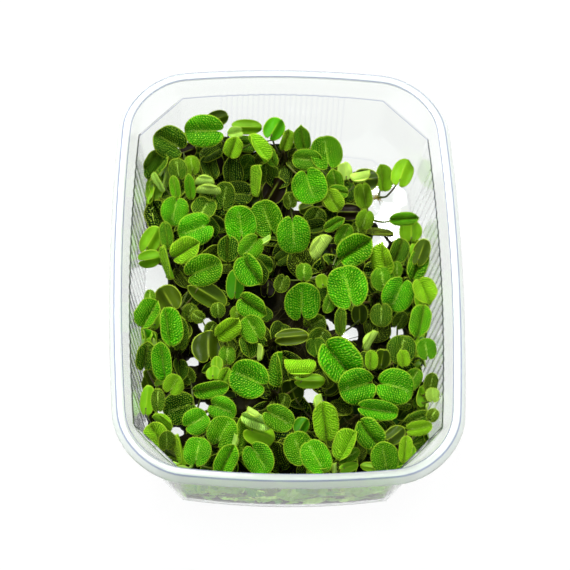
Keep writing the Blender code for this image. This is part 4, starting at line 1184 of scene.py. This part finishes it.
def stalk_paths(place, hub, rng):
    """Curved way from a leaf's notch down to its hub"""
    base, along, across, out, long, wide, fold = place
    start = base + along * (0.25 * long) - out * 0.5
    foot = hub - np.array([0.0, 0.0, STALK_DROP])
    under = 0.6 * start + 0.4 * foot - np.array([0.0, 0.0, rng.uniform(4.0, 7.0)])
    t = np.linspace(0.0, 1.0, 9)[:, None]
    return ((1.0 - t) ** 2 * start + 2.0 * t * (1.0 - t) * under + t * t * foot)[None]


def root_paths(hub, count, longest, rng):
    """Wavy root threads that hang from a hub and spread on the floor"""
    steps = 10
    angle = rng.uniform(0.0, 2.0 * math.pi, count)
    lean = rng.uniform(0.05, 0.75, count)
    long = np.minimum(longest * rng.uniform(0.35, 1.0, count), 1.3 * max(hub[2] - FLOOR, 4.0))
    direction = np.column_stack([lean * np.cos(angle), lean * np.sin(angle), -np.ones(count)])
    t = np.linspace(0.0, 1.0, steps + 1)
    paths = hub + unit(direction)[:, None, :] * (long[:, None] * t)[..., None]
    phase = rng.uniform(0.0, 6.28, (count, 3, 1))
    rate = rng.uniform(3.0, 9.0, (count, 3, 1))
    sway = np.sin(rate * t + phase) - np.sin(phase)
    paths = paths + (sway * rng.uniform(0.3, 1.3, (count, 3, 1)) * t).transpose(0, 2, 1)
    return inside_walls(paths, 0.3)


def mat_threads(count, rng):
    """Root threads lying in a tangle on the floor where plants cover it"""
    steps = 12
    t = np.linspace(0.0, 1.0, steps + 1)
    paths = []
    while len(paths) < count:
        x, y = rng.uniform(138.0, 436.0), rng.uniform(136.0, 498.0)
        if not in_heap(x, y, 4.0, MAT_EDGE):
            continue
        height = FLOOR + 0.4 + 11.0 * rng.random() ** 1.6
        centre = np.array(view_point(x, y, height)[0])
        turn = rng.uniform(0.0, 2.0 * math.pi)
        curl = rng.uniform(-2.6, 2.6)
        long = rng.uniform(10.0, 34.0)
        heading = turn + curl * (t - 0.5)
        step = np.column_stack([np.cos(heading), np.sin(heading), 0.25 * np.sin(5.0 * t + turn)]) * (long / steps)
        path = np.cumsum(step, axis=0)
        path = inside_walls(centre + path - path[steps // 2], 0.3)
        if covered(path[::2], 1.0):
            paths.append(path)
    return np.array(paths)


def old_leaf_rows(count, rng):
    """Table rows of dead leaves lying low in the heap"""
    rows = []
    while len(rows) < count:
        x, y = rng.uniform(138.0, 434.0), rng.uniform(136.0, 492.0)
        long = rng.uniform(20.0, 32.0)
        if in_heap(x, y, 0.5 * long, MAT_EDGE):
            shape, tone = "FUVK"[int(rng.integers(4))], "oonddm"[int(rng.integers(6))]
            rows.append((x, y, long, long * rng.uniform(0.6, 0.95), rng.uniform(0.0, 360.0), shape, tone, 3))
    return rows


def low_leaf_place(hub, turn, rng):
    """Frame of a leaf that lies low around its hub"""
    long = rng.uniform(9.0, 13.5)
    tilt = rng.uniform(-0.5, 0.15)
    along = np.array([math.cos(turn) * math.cos(tilt), math.sin(turn) * math.cos(tilt), math.sin(tilt)])
    roll = rng.uniform(-0.5, 0.5)
    level = unit(np.cross(along, np.array([0.0, 0.0, 1.0])))
    up = np.cross(level, along)
    across = level * math.cos(roll) + up * math.sin(roll)
    out = np.cross(across, along)
    base = hub + along * rng.uniform(1.0, 3.5) - np.array([0.0, 0.0, rng.uniform(4.0, 13.0)])
    return base, along, across, out, long, long * rng.uniform(0.65, 0.95), rng.uniform(0.1, 0.7)


# Directions of the walls that leaves stand against, the front wall most often
WALL_SIDES = ((0, -1), (0, -1), (0, -1), (1, 0), (1, 0), (-1, 0), (-1, 0), (0, 1))
WALL_RUN = 72.0
SHORT_RUN = 46.0


def wall_leaf_places(count, rng):
    """Frames of leaves that stand against the walls, undersides outwards"""
    places = []
    while len(places) < count:
        side = WALL_SIDES[int(rng.integers(len(WALL_SIDES)))]
        outwards = np.array([*side, 0.0])
        reach, run = (RIM_HALF_X, WALL_RUN) if side[0] else (RIM_HALF_Y, SHORT_RUN)
        along_wall = np.array([-side[1], side[0], 0.0]) * rng.uniform(-run, run)
        spot = outwards * reach + along_wall + np.array([0.0, 0.0, rng.uniform(3.0, 20.0)])
        middle = inside_walls(spot, rng.uniform(0.4, 3.0))
        level = np.array([-outwards[1], outwards[0], 0.0])
        turn = rng.uniform(0.0, 2.0 * math.pi)
        along = level * math.cos(turn) + np.array([0.0, 0.0, math.sin(turn)])
        out = unit(-outwards + 0.5 * rng.normal(0.0, 0.5, 3))
        across = unit(np.cross(along, out))
        along = np.cross(out, across)
        long = rng.uniform(9.0, 13.0)
        base = middle - along * (0.5 * long)
        if covered([base, middle, middle + along * (0.5 * long)], 0.0):
            places.append((base, along, across, out, long, long * rng.uniform(0.7, 1.0), rng.uniform(0.1, 0.5)))
    return places


def mat_form(rng):
    """Lumpy layer of matted roots over the planted part of the floor"""
    cell = 1.4
    shape = bmesh.new()
    bmesh.ops.create_grid(
        shape, x_segments=int(2.0 * RIM_HALF_X / cell), y_segments=int(2.0 * RIM_HALF_Y / cell), size=1.0,
    )
    bmesh.ops.scale(shape, verts=shape.verts, vec=(RIM_HALF_X, RIM_HALF_Y, 1.0))
    bare = []
    for face in shape.faces:
        middle = face.calc_center_median()
        middle.z = FLOOR + MAT_DEPTH
        spot = np.array(middle)
        ragged = 4.0 * field.noise(middle * 0.5) - 0.5
        near = math.dist(inside_walls(spot, 0.5), spot) < cell
        stays = near and in_heap(*picture_point(middle), ragged, MAT_EDGE)
        if not stays:
            bare.append(face)
    bmesh.ops.delete(shape, geom=bare, context="FACES")
    for turn in range(4):
        bmesh.ops.smooth_vert(shape, verts=shape.verts, factor=0.5, use_axis_x=True, use_axis_y=True)
    for vert in shape.verts:
        vert.co = Vector(inside_walls(np.array((vert.co.x, vert.co.y, FLOOR + 0.3)), 0.3))
    edge = {(round(v.co.x, 2), round(v.co.y, 2)) for v in shape.verts if v.is_boundary}
    grown = bmesh.ops.extrude_face_region(shape, geom=shape.faces[:])["geom"]
    for vert in [item for item in grown if isinstance(item, bmesh.types.BMVert)]:
        rough = 0.6 * field.noise(vert.co * 0.11) + 0.4 * field.noise(vert.co * 0.37)
        depth = MAT_DEPTH * max(0.3, 1.0 + 1.5 * rough)
        at_edge = (round(vert.co.x, 2), round(vert.co.y, 2)) in edge
        vert.co.z += depth * (0.3 if at_edge else 1.0)
        vert.co += Vector(rng.uniform(-0.35, 0.35, 3))
    bmesh.ops.triangulate(shape, faces=shape.faces[:])
    bmesh.ops.recalc_face_normals(shape, faces=shape.faces)
    return Form(shape)


class SPANGLES_OT_tray(bpy.types.Operator):
    """Make the clear moulded tray"""
    bl_idname = "spangles.tray"
    bl_label = "Tray"

    def execute(self, context):
        look = context.scene.spangle_tray
        shape = tray_shape(look.spacing)
        mesh = bpy.data.meshes.new("clear_tray")
        shape.to_mesh(mesh)
        shape.free()
        mesh.shade_smooth()
        mesh.materials.append(plastic_material("clear_plastic", look, look.tint, look.clearness))
        mesh.materials.append(plastic_material("rim_plastic", look, look.rim_tint, look.rim_clearness))
        tray = bpy.data.objects.new("clear_tray", mesh)
        context.scene.collection.objects.link(tray)
        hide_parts("tray")
        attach(tray, "root")
        return {"FINISHED"}


def tray_stations():
    """Height, half sizes, corner, rounding, flutes, growth and painted shade line from the base's middle to the floor's
    """
    sx, sy = RIM_HALF_X - SHOULDER_INSET, RIM_HALF_Y - SHOULDER_INSET
    bx, by = RIM_HALF_X - BASE_INSET, RIM_HALF_Y - BASE_INSET
    shoulder = HEIGHT - SHOULDER_DROP
    edge = (bx - BASE_ROUND, by - BASE_ROUND, BASE_CHAMFER, 0.0)
    skirt = CREST_WIDTH + SKIRT_WIDTH

    def wall(z, flute, grow, line=0.0):
        """Station on the tapering wall"""
        rise = z / shoulder
        corner = BASE_CHAMFER + (SHOULDER_CHAMFER - BASE_CHAMFER) * rise
        return (z, bx + (sx - bx) * rise, by + (sy - by) * rise, corner, 0.0, flute, grow, line)

    def rim(z, grow, line=0.0):
        """Station on the rounded rim"""
        return (z, RIM_HALF_X, RIM_HALF_Y, RIM_RADIUS, 1.0, 0.0, grow, line)

    outer = [
        (0.0, *edge, 0.0, 0.0, 0.0), (0.1, bx - 0.15, by - 0.15, BASE_CHAMFER, 0.0, 0.3, 0.0, 0.2),
        (BASE_ROUND, bx, by, BASE_CHAMFER, 0.0, 0.5, 0.0, 0.1), wall(FLUTE_FOOT - 2.4, 1.0, 0.0),
        wall(FLUTE_FOOT, 1.0, 0.0), wall(0.5 * shoulder, 1.0, 0.0), wall(shoulder - FLUTE_FADE, 1.0, 0.0),
        wall(shoulder - 0.4, 1.0, 0.0), wall(shoulder, 1.0, 0.0),
        (shoulder + 0.6, sx + 0.25, sy + 0.25, SHOULDER_CHAMFER, 0.12, 0.5, 0.05, 0.0),
        (shoulder + 3.0, sx + 0.9, sy + 0.9, 18.2, 0.55, 0.0, 0.3, 0.0), rim(HEIGHT - 1.9, WALL),
        rim(HEIGHT - 1.2, WALL + 0.35), rim(HEIGHT - LIP_THICKNESS, CREST_EDGE - 0.8),
        rim(HEIGHT - LIP_THICKNESS - 0.15, CREST_EDGE - 0.1),
        rim(HEIGHT - SKIRT_DROP - LIP_THICKNESS + 0.5, skirt - 0.9), rim(HEIGHT - SKIRT_DROP - LIP_THICKNESS, skirt - 0.4),
        rim(HEIGHT - SKIRT_DROP - 0.6, skirt - 0.1, 0.5), rim(HEIGHT - SKIRT_DROP - 0.1, skirt),
        rim(HEIGHT - SKIRT_DROP + 0.6, skirt - 0.3), rim(HEIGHT - 0.6, CREST_EDGE + 0.4),
        rim(HEIGHT - 0.12, CREST_EDGE, 0.9), rim(HEIGHT, CREST_EDGE - 0.5), rim(HEIGHT, 0.6),
        rim(HEIGHT - 0.15, 0.15, 0.85), rim(HEIGHT - 0.6, 0.0),
    ]
    inner = [
        (shoulder + 3.0, sx + 0.9, sy + 0.9, 18.2, 0.55, 0.0, 0.3 - WALL, 0.0),
        (shoulder + 0.6, sx + 0.25, sy + 0.25, SHOULDER_CHAMFER, 0.12, 0.5, 0.05 - WALL, 0.0),
        wall(shoulder + 0.25, 0.9, -WALL, 0.35), wall(shoulder, 1.0, -WALL, 1.0), wall(shoulder - 0.3, 1.0, -WALL),
        wall(shoulder - FLUTE_FADE, 1.0, -WALL),
        wall(0.5 * shoulder, 1.0, -WALL), wall(FLUTE_FOOT, 1.0, -WALL), wall(FLUTE_FOOT - 2.0, 1.0, -WALL),
        (FLOOR + BASE_ROUND, bx, by, BASE_CHAMFER, 0.0, 0.3, -WALL, 0.0),
        (FLOOR + 0.1, bx - 0.3, by - 0.3, BASE_CHAMFER, 0.0, 0.0, -WALL, 0.0), (FLOOR, *edge, 0.0, -WALL, 0.0),
    ]
    return outer, inner


def tray_outline(station, spacing):
    """Ring of the tray: bowed sides, cut or rounded corners and fine flutes, with the strength of its painted shade
    line
    """
    z, half_x, half_y, corner, rounded, flute, grow, line = station
    half_x, half_y = half_x + grow, half_y + grow
    corner += grow * rounded
    bend = 12
    points = []
    for turn in range(4):
        long_side = turn % 2 == 0
        reach, run = (half_x, half_y) if long_side else (half_y, half_x)
        limit, flutes = (LONG_FLUTE_HALF, LONG_FLUTES) if long_side else (SHORT_FLUTE_HALF, SHORT_FLUTES)
        count = flutes * max(4, int(round(2.0 * limit / spacing / flutes)))
        ends = run - corner
        for i in range(4):
            points.append((turn, reach, -ends + (ends - limit) * i / 4.0, line))
        for i in range(count + 1):
            t = limit * (2.0 * i / count - 1.0)
            phase = math.pi * (t + limit) * flutes / limit
            dip = 0.5 * (1.0 - math.cos(phase))
            flute_shade = FLUTE_SHADE_LINE * flute * math.sin(phase) ** 4
            points.append((turn, reach - FLUTE_WAVE * flute * dip, t, max(line, flute_shade)))
        for i in range(1, 4):
            points.append((turn, reach, limit + (ends - limit) * i / 4.0, line))
        for i in range(bend):
            part = i / bend
            turned = 0.5 * math.pi * part
            off = corner * (rounded * (1.0 - math.cos(turned)) + (1.0 - rounded) * part)
            ahead = corner * (rounded * math.sin(turned) + (1.0 - rounded) * part)
            points.append((turn, reach - off, ends + ahead, line))
    ring = []
    for turn, out, t, shade_line in points:
        x, y = ((out, t), (-t, out), (-out, -t), (t, -out))[turn]
        x, y = x * (1.0 - BOW_X / half_x * (y / half_y) ** 2), y * (1.0 - BOW_Y / half_y * (x / half_x) ** 2)
        ring.append((x, y, z, shade_line))
    return ring


def tray_shape(spacing):
    """Closed tray skinned over its rings, from the base's middle round the rim to the floor's"""
    outer, inner = tray_stations()
    rings = [tray_outline(station, spacing) for station in outer + inner]
    around = len(rings[0])
    below = [(0.0, 0.0, 0.0, 0.0)] * around
    above = [(0.0, 0.0, FLOOR, 0.0)] * around
    rings = [below] + rings + [above]
    shape = bmesh.new()
    # Strength of the painted shade line at each point
    line = shape.verts.layers.float.new("line")
    bmesh.ops.create_grid(shape, x_segments=around, y_segments=len(rings) - 1, size=1.0)
    for vert in shape.verts:
        i = int(round((vert.co.x + 1.0) * 0.5 * around)) % around
        j = int(round((vert.co.y + 1.0) * 0.5 * (len(rings) - 1)))
        vert.co = Vector(rings[j][i][:3]) * MM
        vert[line] = rings[j][i][3]
    bmesh.ops.remove_doubles(shape, verts=shape.verts, dist=1e-6)
    bmesh.ops.recalc_face_normals(shape, faces=shape.faces)
    for face in shape.faces:
        face.material_index = int(all(vert.co.z > RIM_FOOT * MM for vert in face.verts))
    return shape


class SPANGLES_OT_sprigs(bpy.types.Operator):
    """Make every sprig: leaves, hairs, stalks and hanging roots"""
    bl_idname = "spangles.sprigs"
    bl_label = "Sprigs"

    def execute(self, context):
        look = context.scene.spangle_sprigs
        roots = context.scene.spangle_roots
        materials = [face_material(look), back_material(look), hair_material(look), stalk_material(), root_material()]
        forms = {
            "fine": blade_form(look.cells), "plain": blade_form(10), "hair": hair_form(),
            "lattice": hair_lattice(look.rows, look.columns),
        }
        stalk = thread_form(6, 8)
        thread = thread_form(3, 10)
        rows = LEAVES + buried_leaves() + FILLERS
        groups = sprig_groups()
        small = small_leaf_owners(groups, rows)
        for number, group in enumerate(groups):
            node = f"spangle_{number + 1:02d}"
            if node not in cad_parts:
                continue
            rng = np.random.default_rng(SEED + 7000 + number)
            move, hub = sunk_move(node, group, rows)
            batch = Batch()
            leaves = []
            for i in group + small.get(number, []):
                x, y, length, width, heading, shape, tone, layer = rows[i]
                place = visible_place(rows[i], i, move, layer != 4)
                leaves.append((place, shape, tone, layer != 4, LAYER_PAINTED_LIGHT[layer]))
            start = rng.uniform(0.0, 2.0 * math.pi)
            for i in range(LOW_LEAVES):
                turn = start + 2.0 * math.pi * i / LOW_LEAVES + rng.uniform(-0.5, 0.5)
                tone = "dmdo"[int(rng.integers(4))]
                place = low_leaf_place(hub, turn, rng)
                if covered([place[0] + place[1] * (place[4] * share) for share in (0.0, 0.5, 1.0)], 3.0):
                    leaves.append((place, "FVK"[i % 3], tone, False, LAYER_PAINTED_LIGHT[4]))
            for place, shape, tone, hairy, painted_light in leaves:
                add_leaf(batch, forms, place, shape, tone, look, hairy, rng, painted_light)
                green = np.array(look.stalk) * rng.uniform(0.5, 0.9)
                add_threads(batch, stalk, inside_walls(stalk_paths(place, hub, rng), 0.6), 0.32, 0.5, green, STALK)
            alone = rows[group[0]][7] == 3
            paths = root_paths(hub, roots.threads, 0.5 * roots.length if alone else roots.length, rng)
            if not alone:
                paths = paths[[covered(path[::2], 1.0) for path in paths]]
            colour = linear(128, 118, 46) if alone else roots.colour
            tones = np.array(colour) * rng.uniform(0.4, 2.0, (len(paths), 1, 1))
            add_threads(batch, thread, paths, roots.radius * 1.4, roots.radius * 0.6, tones, ROOT)
            sprig = batch.piece(f"sprig_{number + 1:02d}", materials)
            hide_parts(node)
            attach(sprig, "root")
        return {"FINISHED"}


class SPANGLES_OT_root_mat(bpy.types.Operator):
    """Make the tangle of roots and dead leaves on the tray's floor"""
    bl_idname = "spangles.root_mat"
    bl_label = "Root Mat"

    def execute(self, context):
        look = context.scene.spangle_sprigs
        roots = context.scene.spangle_roots
        rng = np.random.default_rng(SEED + 99)
        materials = [face_material(look), back_material(look), hair_material(look), stalk_material(), root_material()]
        forms = {"plain": blade_form(6)}
        batch = Batch()
        layer = mat_form(rng)
        # Matted layer at half the roots' colour: the wet roots' own colour with painted shade under the heap
        batch.add(layer, layer.points[None], (0.5, 0.5), np.array(roots.colour) * 0.5, 0.0, ROOT)
        paths = mat_threads(roots.mat_threads, rng)
        tones = np.array(roots.colour) * rng.uniform(0.4, 2.2, (roots.mat_threads, 1, 1))
        add_threads(batch, thread_form(3, 12), paths, roots.radius * 1.5, roots.radius * 0.7, tones, ROOT)
        for i, row in enumerate(old_leaf_rows(roots.old_leaves, rng)):
            drop = np.array([0.0, 0.0, rng.uniform(-4.5, 3.0)])
            place = visible_place(row, i, drop)
            # Old leaves in the mat take the buried layer's painted shade
            add_leaf(batch, forms, place, row[5], row[6], look, False, rng, LAYER_PAINTED_LIGHT[4])
        for place in wall_leaf_places(roots.wall_leaves, rng):
            # Painted light: leaves against the front wall are made lighter and those against the other walls darker
            front = place[0][1] < -60.0
            tone = "llplmo"[int(rng.integers(6))]
            add_leaf(batch, forms, place, "FVU"[int(rng.integers(3))], tone, look, False, rng, 1.3 if front else 0.9)
        mat = batch.piece("root_mat", materials)
        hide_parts(*[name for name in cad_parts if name.startswith("root_tangle")])
        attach(mat, "root")
        return {"FINISHED"}


class SPANGLES_OT_stage(bpy.types.Operator):
    """Make the floor, the soft light and the camera"""
    bl_idname = "spangles.stage"
    bl_label = "Stage"

    def execute(self, context):
        look = context.scene.spangle_stage
        shape = bmesh.new()
        bmesh.ops.create_grid(shape, x_segments=1, y_segments=1, size=6.0)
        mesh = bpy.data.meshes.new("stage_floor")
        shape.to_mesh(mesh)
        shape.free()
        floor = bpy.data.objects.new("stage_floor", mesh)
        made, tree, shader, place = new_material("stage_floor")
        shader.inputs["Base Color"].default_value = (*look.floor, 1.0)
        shader.inputs["Roughness"].default_value = 0.9
        shader.inputs["Specular IOR Level"].default_value = 0.1
        shader.inputs["Emission Color"].default_value = (1.0, 1.0, 1.0, 1.0)
        shader.inputs["Emission Strength"].default_value = look.glow
        mesh.materials.append(made)
        context.scene.collection.objects.link(floor)
        floor.location.z = -0.0004

        world = bpy.data.worlds.new("studio")
        world.use_nodes = True
        sky = world.node_tree.nodes["Background"]
        sky.inputs["Color"].default_value = (1.0, 1.0, 1.0, 1.0)
        sky.inputs["Strength"].default_value = look.sky
        context.scene.world = world

        light = bpy.data.lights.new("overhead", "AREA")
        light.shape = "DISK"
        light.size = 0.6
        light.energy = look.lamp
        lamp = bpy.data.objects.new("overhead", light)
        lamp.location = (-0.25, 0.72, 1.28)
        lamp.rotation_euler = (Vector((0.0, 0.0, 0.0)) - lamp.location).to_track_quat("-Z", "Y").to_euler()
        context.scene.collection.objects.link(lamp)

        camera = bpy.data.cameras.new("camera")
        camera.sensor_width = SENSOR
        camera.lens = VIEW_FOCAL / PICTURE * SENSOR
        camera.shift_x = -(VIEW_CENTRE[0] - 0.5 * PICTURE) / PICTURE
        camera.shift_y = (VIEW_CENTRE[1] - 0.5 * PICTURE) / PICTURE
        camera.clip_start = 0.05
        camera.clip_end = 20.0
        viewer = bpy.data.objects.new("camera", camera)
        right, up, forward = view_axes()
        roll = math.radians(VIEW_ROLL)
        x_axis = right * math.cos(roll) + up * math.sin(roll)
        y_axis = up * math.cos(roll) - right * math.sin(roll)
        eye = (Vector((0.0, 0.0, HEIGHT)) - forward * VIEW_DISTANCE) * MM
        turned = Matrix((x_axis, y_axis, -forward)).transposed().to_4x4()
        viewer.matrix_world = Matrix.Translation(eye) @ turned
        context.scene.collection.objects.link(viewer)
        context.scene.camera = viewer
        context.scene.view_settings.view_transform = "Standard"
        return {"FINISHED"}


class SPANGLES_PT_panel(bpy.types.Panel):
    """Sidebar panel with each step and its settings"""
    bl_idname = "SPANGLES_PT_panel"
    bl_label = "Water Spangles"
    bl_space_type = "VIEW_3D"
    bl_region_type = "UI"
    bl_category = "Spangles"

    def draw(self, context):
        for group, operators in STEPS:
            box = self.layout.box()
            settings = getattr(context.scene, group)
            for name in settings.__annotations__:
                box.prop(settings, name)
            for operator in operators:
                box.operator(operator.bl_idname)


STEPS = (
    ("spangle_stage", (SPANGLES_OT_stage,)),
    ("spangle_tray", (SPANGLES_OT_tray,)),
    ("spangle_sprigs", (SPANGLES_OT_sprigs,)),
    ("spangle_roots", (SPANGLES_OT_root_mat,)),
)
SETTINGS = {
    "spangle_stage": StageProperties,
    "spangle_tray": TrayProperties,
    "spangle_sprigs": SprigProperties,
    "spangle_roots": RootProperties,
}
CLASSES = (
    *SETTINGS.values(), SPANGLES_OT_stage, SPANGLES_OT_tray, SPANGLES_OT_sprigs, SPANGLES_OT_root_mat,
    SPANGLES_PT_panel,
)


def register():
    """Add the classes and the scene's settings"""
    for item in CLASSES:
        bpy.utils.register_class(item)
    for name, group in SETTINGS.items():
        setattr(bpy.types.Scene, name, PointerProperty(type=group))


def unregister():
    """Remove the settings and the classes"""
    for name in SETTINGS:
        delattr(bpy.types.Scene, name)
    for item in reversed(CLASSES):
        bpy.utils.unregister_class(item)


def main():
    """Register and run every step"""
    register()
    bpy.ops.spangles.stage()
    bpy.ops.spangles.tray()
    bpy.ops.spangles.sprigs()
    bpy.ops.spangles.root_mat()


if __name__ == "__main__":
    main()
